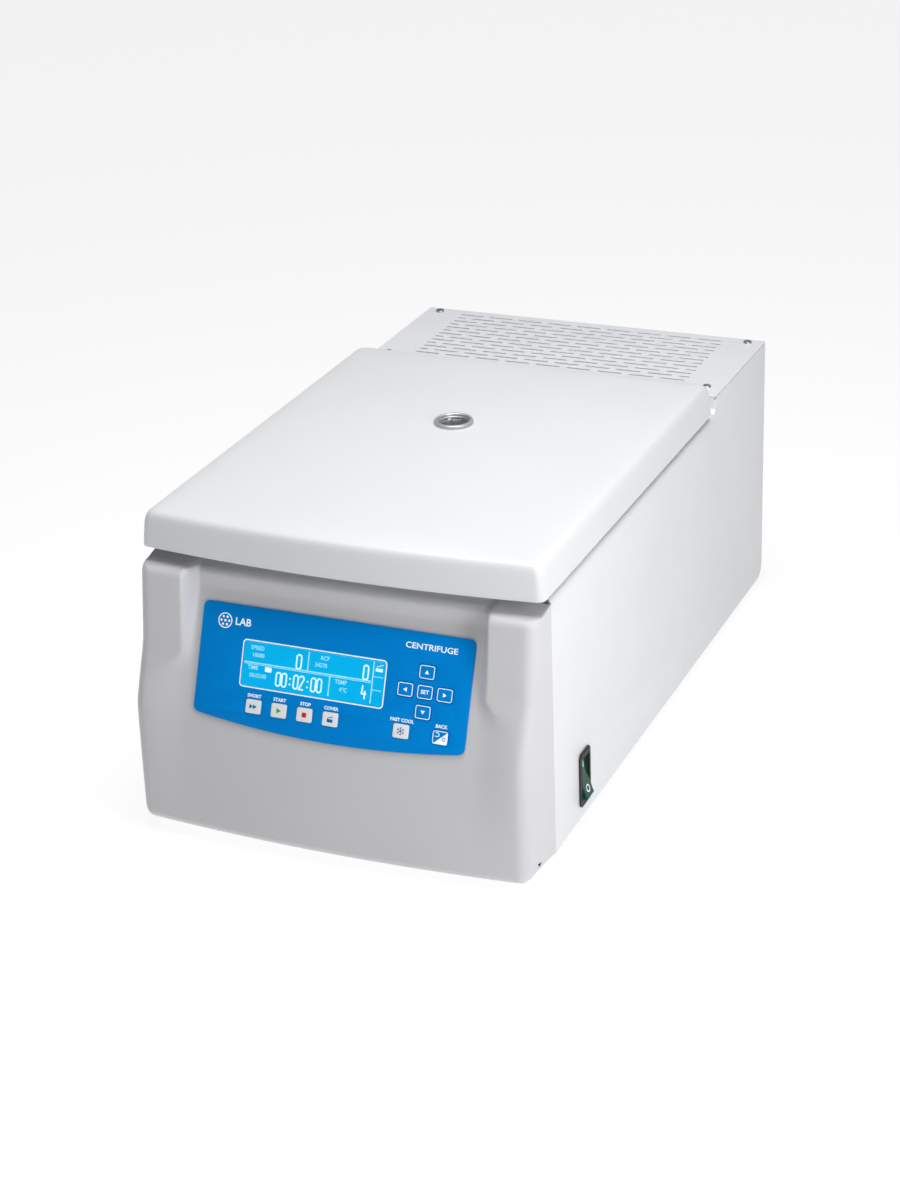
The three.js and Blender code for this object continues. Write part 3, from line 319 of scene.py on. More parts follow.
def screen(name):
    """A backlit display: cyan light, a little uneven, with the fine grid of its dots."""
    mat, tree, shader = material(name)
    coords = place_vector(tree)
    split = node(tree, "ShaderNodeSeparateXYZ")
    tree.links.new(coords, split.inputs[0])
    dot_pitch = 0.55 * MM
    lines = []
    for axis in ("X", "Z"):
        repeat = node(tree, "ShaderNodeMath", operation="PINGPONG")
        repeat.inputs[1].default_value = dot_pitch / 2
        tree.links.new(split.outputs[axis], repeat.inputs[0])
        lines.append(remap(tree, repeat.outputs[0], 0.0, 1.0, 0.0, dot_pitch * 0.12))
    grid = node(tree, "ShaderNodeMath", operation="MULTIPLY")
    tree.links.new(lines[0], grid.inputs[0])
    tree.links.new(lines[1], grid.inputs[1])
    cloud = remap(tree, noise(tree, coords, 14.0, 2.0), 0.0, 1.0)
    glow = mixed(tree, cloud, (0.0, 0.40, 0.72), (0.0, 0.46, 0.80))
    cell = mixed(tree, grid.outputs[0], (0.0, 0.36, 0.68), glow)
    tree.links.new(cell, shader.inputs["Base Color"])
    tree.links.new(cell, shader.inputs["Emission Color"])
    shader.inputs["Emission Strength"].default_value = 0.8
    shader.inputs["Roughness"].default_value = 0.4
    shader.inputs["Specular IOR Level"].default_value = 0.1
    return mat


def print_ink(name, color, glow=0.0):
    mat, tree, shader = material(name)
    coords = place_vector(tree)
    ink = noise(tree, coords, 2500.0, 2.0)
    faint = [c * 0.94 for c in color]
    tree.links.new(mixed(tree, remap(tree, ink, 0.0, 1.0), faint, color), shader.inputs["Base Color"])
    tree.links.new(remap(tree, ink, 0.35, 0.5), shader.inputs["Roughness"])
    # glow makes the ink emit light: real backlight on the display's dots, painted light on the white print.
    if glow > 0:
        shader.inputs["Emission Color"].default_value = (*color, 1)
        shader.inputs["Emission Strength"].default_value = glow
    return mat


def circuit_board(name):
    """Green solder mask with the faint raised lines of copper tracks."""
    mat, tree, shader = material(name)
    coords = place_vector(tree)
    tracks = node(tree, "ShaderNodeTexVoronoi", distance="MANHATTAN", feature="DISTANCE_TO_EDGE")
    tracks.inputs["Scale"].default_value = 160.0
    tree.links.new(coords, tracks.inputs["Vector"])
    line = remap(tree, tracks.outputs["Distance"], 1.0, 0.0, 0.03, 0.08)
    tree.links.new(mixed(tree, line, (0.012, 0.09, 0.04), (0.03, 0.20, 0.09)), shader.inputs["Base Color"])
    relief = node(tree, "ShaderNodeBump")
    relief.inputs["Distance"].default_value = 0.05 * MM
    tree.links.new(line, relief.inputs["Height"])
    tree.links.new(relief.outputs[0], shader.inputs["Normal"])
    shader.inputs["Roughness"].default_value = 0.4
    return mat


SPUN = (0, CHAMBER_Y)
MATS = {
    "coat": surface("white_powder_coat", (0.77, 0.785, 0.81), 0.42, tone=0.012, grain=750, bump=0.03,
                    wave=0.03),
    "lid": surface("satin_white_lid", (0.745, 0.755, 0.77), 0.38, tone=0.012, grain=1400, bump=0.012,
                   wave=0.05),
    "bezel": surface("grey_moulding", (0.645, 0.645, 0.665), 0.46, tone=0.02, grain=2200, bump=0.04,
                     wave=0.04),
    "label": surface("blue_film", (0.0, 0.255, 0.74), 0.5, grain=3200, bump=0.012, gloss=0.04),
    "screen": screen("display_backlight"),
    "window": glass("display_window", (0.95, 0.98, 1.0)),
    # The white print glows a little though it is no lamp: painted light.
    "white_ink": print_ink("white_ink", (0.90, 0.95, 1.0), 0.25),
    "screen_ink": print_ink("lit_dots", (0.80, 0.97, 1.0), 0.75),
    "screen_pale": print_ink("pale_dots", (0.45, 0.86, 0.98), 0.6),
    "blue_ink": print_ink("blue_ink", (0.0, 0.16, 0.48)),
    "green_ink": print_ink("green_ink", (0.03, 0.50, 0.06)),
    "red_ink": print_ink("red_ink", (0.75, 0.01, 0.01)),
    "key_white": surface("white_film", (0.92, 0.94, 0.96), 0.4, tone=0.015, grain=3200, bump=0.012),
    # edge paints a lighter highlight on the sharp edges of the black mouldings.
    "black": surface("black_moulding", (0.014, 0.014, 0.016), 0.42, tone=0.1, grain=2600, bump=0.05,
                     edge=0.25),
    "green": surface("green_rocker", (0.0, 0.062, 0.036), 0.22, tone=0.06, bump=0.01, gloss=0.2),
    "zinc": surface("zinc_plate", (0.62, 0.63, 0.65), 0.30, 1.0, tone=0.08, tone_scale=60, rough_var=0.1),
    "steel": surface("satin_stainless", (0.66, 0.67, 0.68), 0.27, 1.0, grain=500, bump=0.012,
                     rough_var=0.08, stretch=(0.06, 1, 1)),
    "bowl": surface("spun_stainless", (0.64, 0.65, 0.66), 0.26, 1.0, grain=2400, rough_var=0.08, ring=SPUN),
    "turned": surface("turned_aluminium", (0.62, 0.63, 0.65), 0.30, 1.0, grain=3200, bump=0.015,
                      rough_var=0.08, ring=SPUN),
    "satin": surface("satin_anodised", (0.52, 0.525, 0.54), 0.42, 0.55, grain=3200, rough_var=0.06,
                     ring=SPUN),
    # edge paints a lighter highlight on the sharp edges of the rotor.
    "rotor": surface("hard_anodised", (0.20, 0.215, 0.24), 0.38, 0.85, tone=0.05, grain=2600, bump=0.015,
                     rough_var=0.06, ring=SPUN, edge=0.3),
    "fins": surface("mill_aluminium", (0.62, 0.63, 0.64), 0.4, 1.0, tone=0.05, grain=700),
    "rubber": surface("black_rubber", (0.017, 0.017, 0.018), 0.78, tone=0.12, grain=1100, bump=0.06,
                      sheen=0.2),
    "seal": surface("grey_silicone", (0.10, 0.104, 0.11), 0.6, tone=0.08, bump=0.03),
    "glass": glass("port_glass", (0.93, 0.96, 0.97)),
    "board": circuit_board("circuit_board"),
    "copper": surface("drawn_copper", (0.62, 0.27, 0.13), 0.3, 1.0, tone=0.12, tone_scale=40, grain=700),
    "enamel": surface("black_enamel", (0.02, 0.021, 0.024), 0.34, tone=0.1, grain=420, bump=0.04, coat=0.2),
}


# ---------- mesh tools ----------

WIDE_FLATS = ("rear_sheet", "grille_cover", "deck_sheet", "step_panel")
BEVEL_FROM = math.radians(28)


def linked(name, data):
    obj = bpy.data.objects.new(name, data)
    bpy.context.scene.collection.objects.link(obj)
    return obj


def baked(obj, *helpers):
    """The object's mesh with its modifiers or curve settings applied. The objects are removed."""
    bpy.context.view_layer.update()
    graph = bpy.context.evaluated_depsgraph_get()
    mesh = bpy.data.meshes.new_from_object(obj.evaluated_get(graph))
    for one in (obj, *helpers):
        bpy.data.objects.remove(one)
    return mesh


def piece(name, mesh, body, look, replaces=(), bevel=0.0, angle=32.0):
    """Puts a mesh into the scene as a piece that rides on a CAD body."""
    looks = look if isinstance(look, list) else [look]
    mesh.name = name
    numbers = [polygon.material_index if len(looks) > 1 else 0 for polygon in mesh.polygons]
    mesh.materials.clear()
    for one in looks:
        mesh.materials.append(MATS[one])
    mesh.polygons.foreach_set("material_index", numbers)
    mesh.polygons.foreach_set("use_smooth", [True] * len(mesh.polygons))
    mesh.set_sharp_from_angle(angle=math.radians(angle))
    obj = linked(name, mesh)
    if bevel > 0:
        edges = obj.modifiers.new("edges", "BEVEL")
        edges.width = bevel * MM
        edges.segments = 3 if name == "rocker_cap" else 2
        edges.limit_method = "ANGLE"
        edges.angle_limit = BEVEL_FROM
        edges.harden_normals = True
    elif name in WIDE_FLATS:
        normals = obj.modifiers.new("normals", "WEIGHTED_NORMAL")
        normals.keep_sharp = True
    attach(obj, body)
    if replaces:
        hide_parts(*replaces)


def welded(mesh, turn_out=True, dissolve=False):
    """The same mesh with doubles merged and, if asked, its faces turned out."""
    bm = bmesh.new()
    bm.from_mesh(mesh)
    bmesh.ops.remove_doubles(bm, verts=bm.verts, dist=1e-6)
    if dissolve:
        bmesh.ops.dissolve_degenerate(bm, edges=bm.edges, dist=1e-7)
    if turn_out:
        bmesh.ops.recalc_face_normals(bm, faces=bm.faces)
    bm.to_mesh(mesh)
    bm.free()
    return mesh


def mesh_of(verts, faces, close=True):
    """A mesh from machine points. close turns its faces out, for a closed body."""
    mesh = bpy.data.meshes.new("mesh")
    mesh.from_pydata([at(*v) for v in verts], [], faces)
    return welded(mesh, close, dissolve=True)


def joined(meshes):
    """Several meshes as one, each keeping its material numbers."""
    bm = bmesh.new()
    for mesh in meshes:
        bm.from_mesh(mesh)
    out = bpy.data.meshes.new("joined")
    bm.to_mesh(out)
    bm.free()
    return out


def painted(mesh, number):
    """Sets one material number on all of a mesh's faces."""
    mesh.polygons.foreach_set("material_index", [number] * len(mesh.polygons))
    return mesh


def grid_faces(rows, columns, wrap=False):
    """Quads over a grid of rows x columns points, closing round if asked."""
    faces = []
    for i in range(rows - 1):
        for j in range(columns if wrap else columns - 1):
            k = (j + 1) % columns
            faces.append((i * columns + j, i * columns + k, (i + 1) * columns + k, (i + 1) * columns + j))
    return faces


def ring_caps(count, total):
    """The two end faces of a stack of rings of count points, total points in all."""
    return [tuple(range(count)), tuple(range(total - 1, total - count - 1, -1))]


def soft_profile(points, radius=0.0, steps=4):
    """A profile whose inner corners are rounded by arcs of about that radius."""
    out = [points[0]]
    for before, here, after in zip(points, points[1:], points[2:]):
        a, p, b = Vector(before), Vector(here), Vector(after)
        reach = min(radius, (a - p).length * 0.45, (b - p).length * 0.45)
        start = p + (a - p).normalized() * reach
        end = p + (b - p).normalized() * reach
        for i in range(steps + 1):
            t = i / steps
            out.append(tuple(start * (1 - t) ** 2 + p * 2 * t * (1 - t) + end * t * t))
    out.append(points[-1])
    return out


def lathe(profile, x, y, count=96, radius=0.0):
    """A profile of (radius, z), turned about the vertical axis at (x, y)."""
    profile = soft_profile(profile, radius) if radius > 0 else profile
    verts = []
    for r, z in profile:
        verts += [(x + r * math.cos(2 * math.pi * j / count), y + r * math.sin(2 * math.pi * j / count), z)
                  for j in range(count)]
    return mesh_of(verts, grid_faces(len(profile), count, wrap=True))


def spun(profile, count=96, radius=0.0):
    """A profile turned about the chamber's axis."""
    return lathe(profile, 0, CHAMBER_Y, count, radius)


AXES = {
    "x": Matrix(((0, 0, 1), (1, 0, 0), (0, 1, 0))),
    "y": Matrix(((1, 0, 0), (0, 0, 1), (0, 1, 0))),
    "z": Matrix(((1, 0, 0), (0, 1, 0), (0, 0, 1))),
}
CONSOLE_TILT = math.atan(CONSOLE_SLOPE)
CONSOLE_ORIGIN = Vector((0, CONSOLE_Y + CONSOLE_SLOPE * (LABEL_Z - CONSOLE_Z), LABEL_Z))
CONSOLE_TURN = Matrix.Rotation(math.pi / 2 - CONSOLE_TILT, 3, "X")


def machine_from(plane, u, v, w):
    """The machine point of (u, v, w) in a plane: x, y, z, or console."""
    local = Vector((u, v, w))
    return CONSOLE_TURN @ local + CONSOLE_ORIGIN if plane == "console" else AXES[plane] @ local


def plate(outline, plane, low, high, holes=(), edge=0.25, steps=2):
    """A flat plate with holes and rounded edges, made with a filled curve."""
    curve = bpy.data.curves.new("plate", "CURVE")
    curve.dimensions = "2D"
    curve.fill_mode = "BOTH"
    curve.extrude = (high - low) / 2 - edge
    curve.bevel_depth = edge
    curve.bevel_resolution = steps
    curve.offset = -edge
    for loop in [outline, *holes]:
        spline = curve.splines.new("POLY")
        spline.points.add(len(loop) - 1)
        for point, (u, v) in zip(spline.points, loop):
            point.co = (u, v, 0, 1)
        spline.use_cyclic_u = True
    mesh = baked(linked("plate", curve))
    bpy.data.curves.remove(curve)
    middle = (low + high) / 2
    for vertex in mesh.vertices:
        u, v, w = vertex.co
        vertex.co = at(*machine_from(plane, u, v, middle + w))
    return welded(mesh)


def prism(outline, plane, low, high):
    """An outline pushed along an axis, with plain edges for a bevel to round."""
    count = len(outline)
    verts = [machine_from(plane, u, v, w) for w in (low, high) for u, v in outline]
    return mesh_of(verts, grid_faces(2, count, wrap=True) + ring_caps(count, 2 * count))


def box(low, high):
    (x0, y0, z0), (x1, y1, z1) = low, high
    return prism([(x0, y0), (x1, y0), (x1, y1), (x0, y1)], "z", z0, z1)


def rod(start, end, radius, count=32):
    """A round bar between two machine points."""
    a, b = Vector(start), Vector(end)
    turn = (b - a).to_track_quat("Z", "Y").to_matrix()
    ring = [turn @ Vector((radius * math.cos(t), radius * math.sin(t), 0))
            for t in (2 * math.pi * j / count for j in range(count))]
    verts = [a + p for p in ring] + [b + p for p in ring]
    return mesh_of(verts, grid_faces(2, count, wrap=True) + ring_caps(count, 2 * count))


def tube(points, radius, count=14):
    """A round tube along machine points, with closed ends."""
    path = [Vector(p) for p in points]
    up = Vector((0, 0, 1))
    verts = []
    for i, p in enumerate(path):
        ahead = (path[min(i + 1, len(path) - 1)] - path[max(i - 1, 0)]).normalized()
        side = ahead.cross(up)
        side = side.normalized() if side.length > 0.05 else Vector((1, 0, 0))
        top = side.cross(ahead).normalized()
        for j in range(count):
            t = 2 * math.pi * j / count
            verts.append(p + side * radius * math.cos(t) + top * radius * math.sin(t))
    return mesh_of(verts, grid_faces(len(path), count, wrap=True) + ring_caps(count, len(verts)))


def thickened(mesh, thickness, offset=0):
    """An open surface given a wall: offset 0 centres it, -1 puts it behind the surface."""
    obj = linked("thin", mesh)
    wall = obj.modifiers.new("wall", "SOLIDIFY")
    wall.thickness = thickness * MM
    wall.offset = offset
    return baked(obj)


def cut_by(mesh, cutters):
    """The mesh with the cutters taken away, by exact booleans."""
    host = linked("host", mesh)
    tools = [linked("tool", cutter) for cutter in cutters]
    for tool in tools:
        cut = host.modifiers.new("cut", "BOOLEAN")
        cut.operation = "DIFFERENCE"
        cut.solver = "EXACT"
        cut.object = tool
    return baked(host, *tools)


# ---------- flat printing ----------

INK = 0.06
CAPITAL_SHARE = 0.72


def ribbon(points, width, level, cyclic=False):
    """A line of one width along points, printed on the console."""
    count = len(points)
    left, right = [], []
    for i, p in enumerate(points):
        here = Vector(p)
        before = Vector(points[(i - 1) % count]) if (cyclic or i > 0) else None
        after = Vector(points[(i + 1) % count]) if (cyclic or i < count - 1) else None
        first = (here - before).normalized() if before is not None else (after - here).normalized()
        second = (after - here).normalized() if after is not None else first
        middle = (first + second).normalized()
        normal = Vector((-middle.y, middle.x))
        stretch = width / 2 / max(0.4, normal.dot(Vector((-first.y, first.x))))
        left.append(here + normal * stretch)
        right.append(here - normal * stretch)
    verts, faces = [], []
    for w in (level, level + INK):
        verts += [machine_from("console", p.x, p.y, w) for p in left + right]
    last = count if cyclic else count - 1
    for i in range(last):
        k = (i + 1) % count
        faces.append((i, k, k + count, i + count))
        faces.append((i + 2 * count, i + 3 * count, k + 3 * count, k + 2 * count))
        faces.append((i, i + 2 * count, k + 2 * count, k))
        faces.append((i + count, k + count, k + 3 * count, i + 3 * count))
    if not cyclic:
        for i in (0, count - 1):
            faces.append((i, i + count, i + 3 * count, i + 2 * count))
    return mesh_of(verts, faces)


def patch(outline, level):
    """An area printed on the console."""
    return prism(outline, "console", level, level + INK)


def lettering(text, u, v, height, level, stretch=1.0, weight=0.0):
    """Words printed on the console, their middle at (u, v). The height is that of a capital."""
    curve = bpy.data.curves.new("words", "FONT")
    curve.body = text
    curve.size = height / CAPITAL_SHARE
    curve.align_x = "CENTER"
    curve.align_y = "CENTER"
    curve.offset = weight
    curve.resolution_u = 3
    curve.extrude = INK / 2
    mesh = baked(linked("words", curve))
    bpy.data.curves.remove(curve)
    for vertex in mesh.vertices:
        x, y, z = vertex.co
        vertex.co = at(*machine_from("console", u + x * stretch, v + y, level + INK / 2 + z))
    return mesh


# ---------- front bezel ----------

def soft_max(a, b, k):
    """The larger of two values, blended over about k where they meet."""
    return (a + b + math.hypot(a - b, k)) / 2


def soft_min(a, b, k):
    return (a + b - math.hypot(a - b, k)) / 2


def round_off(radius, into):
    """How far a surface falls back at a distance into a rounded edge."""
    return radius - math.sqrt(max(0.0, radius * radius - into * into)) if into > 0 else 0.0


BEZEL_TOP, LEDGE_REAR, LEDGE_R = 226.5, 229.5, 7
CORNER_R, BOTTOM_R, CHIN_R = 11, 10, 9
RIDGE_MID_Z, RIDGE_RISE, RIDGE_SOFT = 92, 16.5, 2.5
APRON_MID_Y, APRON_BOW = -73, 9.5
BAND_Y, BAND_SOFT = -17, 1.5
PILLAR_Y, PILLAR_TOP_Z, PILLAR_SLOPE = -35.5, 214, 0.134
FOOT_Y, FOOT_Z, FOOT_SLOPE, FOOT_SOFT = -43.2, 158, 0.395, 1.2
WALL_IN, WALL_OUT, WALL_END, WALL_END_Z = 131.5, 142, 174, 128
BEZEL_WALL = 2.6


def ridge_height(x):
    """Height of the ridge between the console and the apron below it."""
    return RIDGE_MID_Z + RIDGE_RISE * (x / HALF) ** 2


def upper_depth(x, z):
    """Depth of the sloping console and of the two pillars that frame it."""
    recess = soft_min(CONSOLE_Y + CONSOLE_SLOPE * (z - CONSOLE_Z), BAND_Y, BAND_SOFT)
    face = PILLAR_Y - PILLAR_SLOPE * (PILLAR_TOP_Z - z)
    run = FOOT_Y + FOOT_SLOPE * (z - FOOT_Z)
    pillar = soft_min(face, run, FOOT_SOFT)
    wall_out = lerp(WALL_END, WALL_OUT, smoothstep(WALL_END_Z, FOOT_Z, z))
    return lerp(recess, pillar, smoothstep(WALL_IN, wall_out, abs(x)))


def bezel_depth(x, z):
    """Depth of the bezel's front surface, the same surface as in part.mjs."""
    ridge_z = ridge_height(x)
    bottom_y = APRON_MID_Y + APRON_BOW * (x / HALF) ** 2
    apron = lerp(bottom_y, upper_depth(x, ridge_z), z / ridge_z)
    return soft_max(upper_depth(x, z), apron, RIDGE_SOFT)


def bezel_low(x):
    """Height of the bezel's lower front edge, which rises round the corners of the chin."""
    return UNDER + round_off(CHIN_R, abs(x) - (HALF - CHIN_R))


def bezel_rows(x):
    low = bezel_low(x)
    ridge_z = ridge_height(x)
    rows = [low + BOTTOM_R * (1 - math.cos(a)) for a in span(0, math.pi / 2, 7)]
    rows += span(low + BOTTOM_R, ridge_z - 18, 9)[1:]
    rows += span(ridge_z - 18, ridge_z + 18, 20)[1:]
    rows += span(ridge_z + 18, 144, 3)[1:]
    rows += span(144, 172, 14)[1:]
    rows += span(172, 198, 5)[1:]
    rows += span(198, BEZEL_TOP - LEDGE_R, 12)[1:]
    rows += [BEZEL_TOP - LEDGE_R + LEDGE_R * math.sin(a) for a in span(0, math.pi / 2, 8)[1:]]
    return rows


def bezel_columns():
    right = span(0, 124, 24) + span(124, 150, 26)[1:] + span(150, HALF - CORNER_R, 5)[1:]
    right += [HALF - CORNER_R + CORNER_R * math.sin(a) for a in span(0, math.pi / 2, 9)[1:]]
    return [-x for x in right[:0:-1]] + right


DEPTH_STEPS = 5


def bezel_section(x):
    """From the seam along the bottom, up the front and over the ledge back to the seam."""
    corner = round_off(CORNER_R, abs(x) - (HALF - CORNER_R))
    low = bezel_low(x)
    front = []
    for z in bezel_rows(x):
        bottom = round_off(BOTTOM_R, BOTTOM_R - (z - low))
        top = round_off(LEDGE_R, z - (BEZEL_TOP - LEDGE_R))
        front.append((x, bezel_depth(x, z) + corner + bottom + top, z))
    low_y, high_y = front[0][1], front[-1][1]
    bottom_strip = [(x, lerp(0, low_y, t), lerp(UNDER, low, t)) for t in span(0, 1, DEPTH_STEPS)[:-1]]
    ledge = [(x, lerp(high_y, 0, t), lerp(BEZEL_TOP, LEDGE_REAR, t * t * (3 - 2 * t)))
             for t in span(0, 1, DEPTH_STEPS)[1:]]
    return bottom_strip + front + ledge


def bezel_side(x):
    """The flat end of the bezel: a grid from its front edge back to the seam."""
    section = bezel_section(x)
    front = section[DEPTH_STEPS:len(section) - DEPTH_STEPS]
    low = bezel_low(x)
    verts = []
    for _, y, z in front:
        lift = (LEDGE_REAR - BEZEL_TOP) * smoothstep(160, BEZEL_TOP, z)
        drop = (UNDER - low) * (1 - smoothstep(low, 60, z))
        verts += [(x, lerp(y, 0, t), z + lift * t * t * (3 - 2 * t) + drop * t)
                  for t in span(0, 1, DEPTH_STEPS)]
    return verts, grid_faces(len(front), DEPTH_STEPS + 1)


def build_bezel():
    columns = bezel_columns()
    verts = []
    for x in columns:
        verts += bezel_section(x)
    faces = grid_faces(len(columns), len(verts) // len(columns))
    for x in (columns[0], columns[-1]):
        more, side_faces = bezel_side(x)
        faces += [tuple(i + len(verts) for i in face) for face in side_faces]
        verts += more
    mesh = thickened(mesh_of(verts, faces), BEZEL_WALL, -1)
    for vertex in mesh.vertices:
        vertex.co.x = min(HALF * MM, max(-HALF * MM, vertex.co.x))
        vertex.co.y = min(SEAM_Y, max(BEZEL_FRONT, vertex.co.y))
    piece("bezel_moulding", mesh, "base", "bezel", ["front_bezel"], angle=50)


# ---------- console: label, display, keys ----------

def label_outline():
    r = 5.5
    flat = LABEL_HALF - r
    lower = [(x, -LABEL_SAG * (1 - (x / LABEL_HALF) ** 2)) for x in span(-flat, flat, 60)]
    rise = lower[0][1] + r + 0.2
    left_corner = [(-flat - r * math.sin(a), rise - r * math.cos(a)) for a in span(math.pi / 2, 0.12, 8)]
    right_corner = [(flat + r * math.sin(a), rise - r * math.cos(a)) for a in span(0.12, math.pi / 2, 8)]
    top = arc(flat, LABEL_HEIGHT - r, r, 0, 90, 8) + arc(-flat, LABEL_HEIGHT - r, r, 90, 180, 8)
    return lower + right_corner + top + left_corner


def build_label():
    slot = 0.35
    holes = [padded(x, s, KEY_W / 2 + slot, KEY_H / 2 + slot, 1.9) for x, s in KEY_PLACES.values()]
    u0, u1, v0, v1 = LCD
    holes.append(rounded(u0 - 0.2, u1 + 0.2, v0 - 0.2, v1 + 0.2, 2.4))
    film = plate(label_outline(), "console", 0.3, LABEL_TOP, holes, edge=0.2)
    piece("label_film", film, "base", "label", ["control_label"])
    backing = plate(label_outline(), "console", 0.02, 0.28, [], edge=0.05, steps=1)
    piece("label_backing", backing, "base", "black")


def build_label_print():
    top = LABEL_TOP + 0.01
    parts = [lettering("CENTRIFUGE", 87, 83.5, 5.0, top, stretch=1.16, weight=0.10)]
    captions = {"key_short": "SHORT", "key_start": "START", "key_stop": "STOP", "key_cover": "COVER",
                "key_fast_cool": "FAST COOL", "key_back": "BACK"}
    for key, words in captions.items():
        x, s = KEY_PLACES[key]
        parts.append(lettering(words, x, s + 9.1, 2.9, top, weight=0.10))
    u0, u1, v0, v1 = LCD
    parts.append(ribbon(rounded(u0 - 0.7, u1 + 0.7, v0 - 0.7, v1 + 0.7, 3.0), 1.0, top, cyclic=True))
    parts += rotor_emblem(-94, 80.5, top)
    piece("label_print", joined(parts), "base", "white_ink")


def rotor_emblem(u, v, level):
    """A plain pictogram of a six-place rotor beside the word LAB."""
    parts = [ribbon(circle(u - 10, v, 6.2, 48), 0.9, level, cyclic=True)]
    parts += [patch(circle(u - 10 + 3.7 * math.cos(t), v + 3.7 * math.sin(t), 1.05, 20), level)
              for t in (math.pi / 3 * i for i in range(6))]
    parts.append(patch(circle(u - 10, v, 1.1, 20), level))
    parts.append(lettering("LAB", u + 7, v + 0.4, 6.4, level, weight=0.14))
    return parts


LCD_LEVEL = 0.42


def lcd_point(u, v):
    """A point of the display given by shares of its width and height."""
    u0, u1, v0, v1 = LCD
    return lerp(u0, u1, u), lerp(v0, v1, v)


def lcd_digit(character, u, v, height=12.0):
    """A tall round-ended digit drawn as one or two lines."""
    w = height * 0.36
    cx, cy = lcd_point(u, v)
    stroke = height * 0.11
    if character == "0":
        return [ribbon(padded(cx, cy, w / 2, height / 2, w * 0.49, 5), stroke, LCD_LEVEL, cyclic=True)]
    if character == ":":
        dots = (-height / 4, height / 6)
        return [patch(circle(cx, cy + dy, stroke * 0.62, 14), LCD_LEVEL) for dy in dots]
    if character == "2":
        top = arc(cx, cy + height / 2 - w / 2, w / 2, 170, -35, 8)
        line = top + [(cx - w / 2, cy - height / 2), (cx + w / 2, cy - height / 2)]
        return [ribbon(line, stroke, LCD_LEVEL)]
    if character == "4":
        bar_y = cy - height * 0.12
        hook = [(cx - w * 0.35, cy + height / 2), (cx - w / 2, bar_y), (cx + w * 0.55, bar_y)]
        stem = [(cx + w * 0.2, cy + height * 0.12), (cx + w * 0.2, cy - height / 2)]
        return [ribbon(hook, stroke, LCD_LEVEL), ribbon(stem, stroke, LCD_LEVEL)]
    raise ValueError(character)


def build_display():
    u0, u1, v0, v1 = LCD
    back = plate(rounded(u0, u1, v0, v1, 2.2), "console", 0.1, 0.4, edge=0.05, steps=1)
    piece("lcd_backlight", back, "base", "screen", ["lcd_window"])
    pane = plate(rounded(u0, u1, v0, v1, 2.2), "console", 0.75, LABEL_TOP - 0.1, edge=0.15)
    piece("lcd_pane", pane, "base", "window")
    bold = []
    bold += lcd_digit("0", 0.395, 0.70)
    bold += lcd_digit("0", 0.865, 0.70)
    for i, character in enumerate("00:02:00"):
        bold += lcd_digit(character, 0.262 + i * 0.0415, 0.25, 11.4)
    bold += lcd_digit("4", 0.865, 0.27, 11.4)
    bx, by = lcd_point(0.955, 0.80)
    box_sign = [(bx - 3.2, by - 1.6), (bx + 3.2, by - 1.6), (bx + 3.2, by + 1.1), (bx - 3.2, by + 1.1)]
    bold.append(patch(box_sign, LCD_LEVEL))
    bold.append(ribbon([(bx - 2.6, by + 2.2), (bx + 3.2, by + 4.4)], 0.5, LCD_LEVEL))
    nx, ny = lcd_point(0.185, 0.42)
    bold.append(patch(padded(nx, ny, 3.0, 2.0, 0.5, 2), LCD_LEVEL))
    piece("lcd_readouts", joined(bold), "base", "screen_ink")
    pale = []
    rules = [((0.01, 0.53), (0.905, 0.53), 1.0), ((0.01, 0.495), (0.905, 0.495), 0.5),
             ((0.46, 0.53), (0.46, 0.95), 1.1), ((0.62, 0.06), (0.62, 0.495), 1.1),
             ((0.915, 0.05), (0.915, 0.96), 1.0), ((0.915, 0.64), (0.985, 0.64), 0.6),
             ((0.915, 0.35), (0.985, 0.35), 0.6)]
    for start, end, width in rules:
        pale.append(ribbon([lcd_point(*start), lcd_point(*end)], width, LCD_LEVEL))
    words = [("SPEED", 0.095, 0.86), ("18000", 0.105, 0.70), ("RCF", 0.575, 0.86),
             ("24270", 0.55, 0.70), ("TIME", 0.075, 0.42), ("00:02:00", 0.115, 0.25),
             ("TEMP", 0.70, 0.40), ("4°C", 0.72, 0.24)]
    for text, u, v in words:
        x, y = lcd_point(u, v)
        pale.append(lettering(text, x, y, 3.6, LCD_LEVEL, stretch=0.92, weight=0.05))
    piece("lcd_captions", joined(pale), "base", "screen_pale")


def key_symbol(key):
    """The filled shapes of a key's sign, as (outline, ink) pairs with their middle at (0, 0)."""
    if key == "key_short":
        shapes = [[(-3.4, -2.1), (0, 0), (-3.4, 2.1)], [(0, -2.1), (3.4, 0), (0, 2.1)]]
        return [(shape, "blue_ink") for shape in shapes]
    if key == "key_start":
        return [([(-1.9, -2.4), (2.4, 0), (-1.9, 2.4)], "green_ink")]
    if key == "key_stop":
        return [([(-2, -2), (2, -2), (2, 2), (-2, 2)], "red_ink")]
    if key == "key_cover":
        lid = [(-2.6, 1.0), (2.4, 2.6), (2.6, 2.0), (-2.4, 0.4)]
        return [([(-2.6, -2.6), (2.6, -2.6), (2.6, 0.2), (-2.6, 0.2)], "blue_ink"), (lid, "blue_ink")]
    arrows = {"key_up": 90, "key_left": 180, "key_right": 0, "key_down": -90}
    if key in arrows:
        turn = math.radians(arrows[key])
        c, d = math.cos(turn), math.sin(turn)
        arrow = [(u * c - v * d, u * d + v * c) for u, v in ((-1.5, -1.9), (1.8, 0), (-1.5, 1.9))]
        return [(arrow, "white_ink")]
    return []


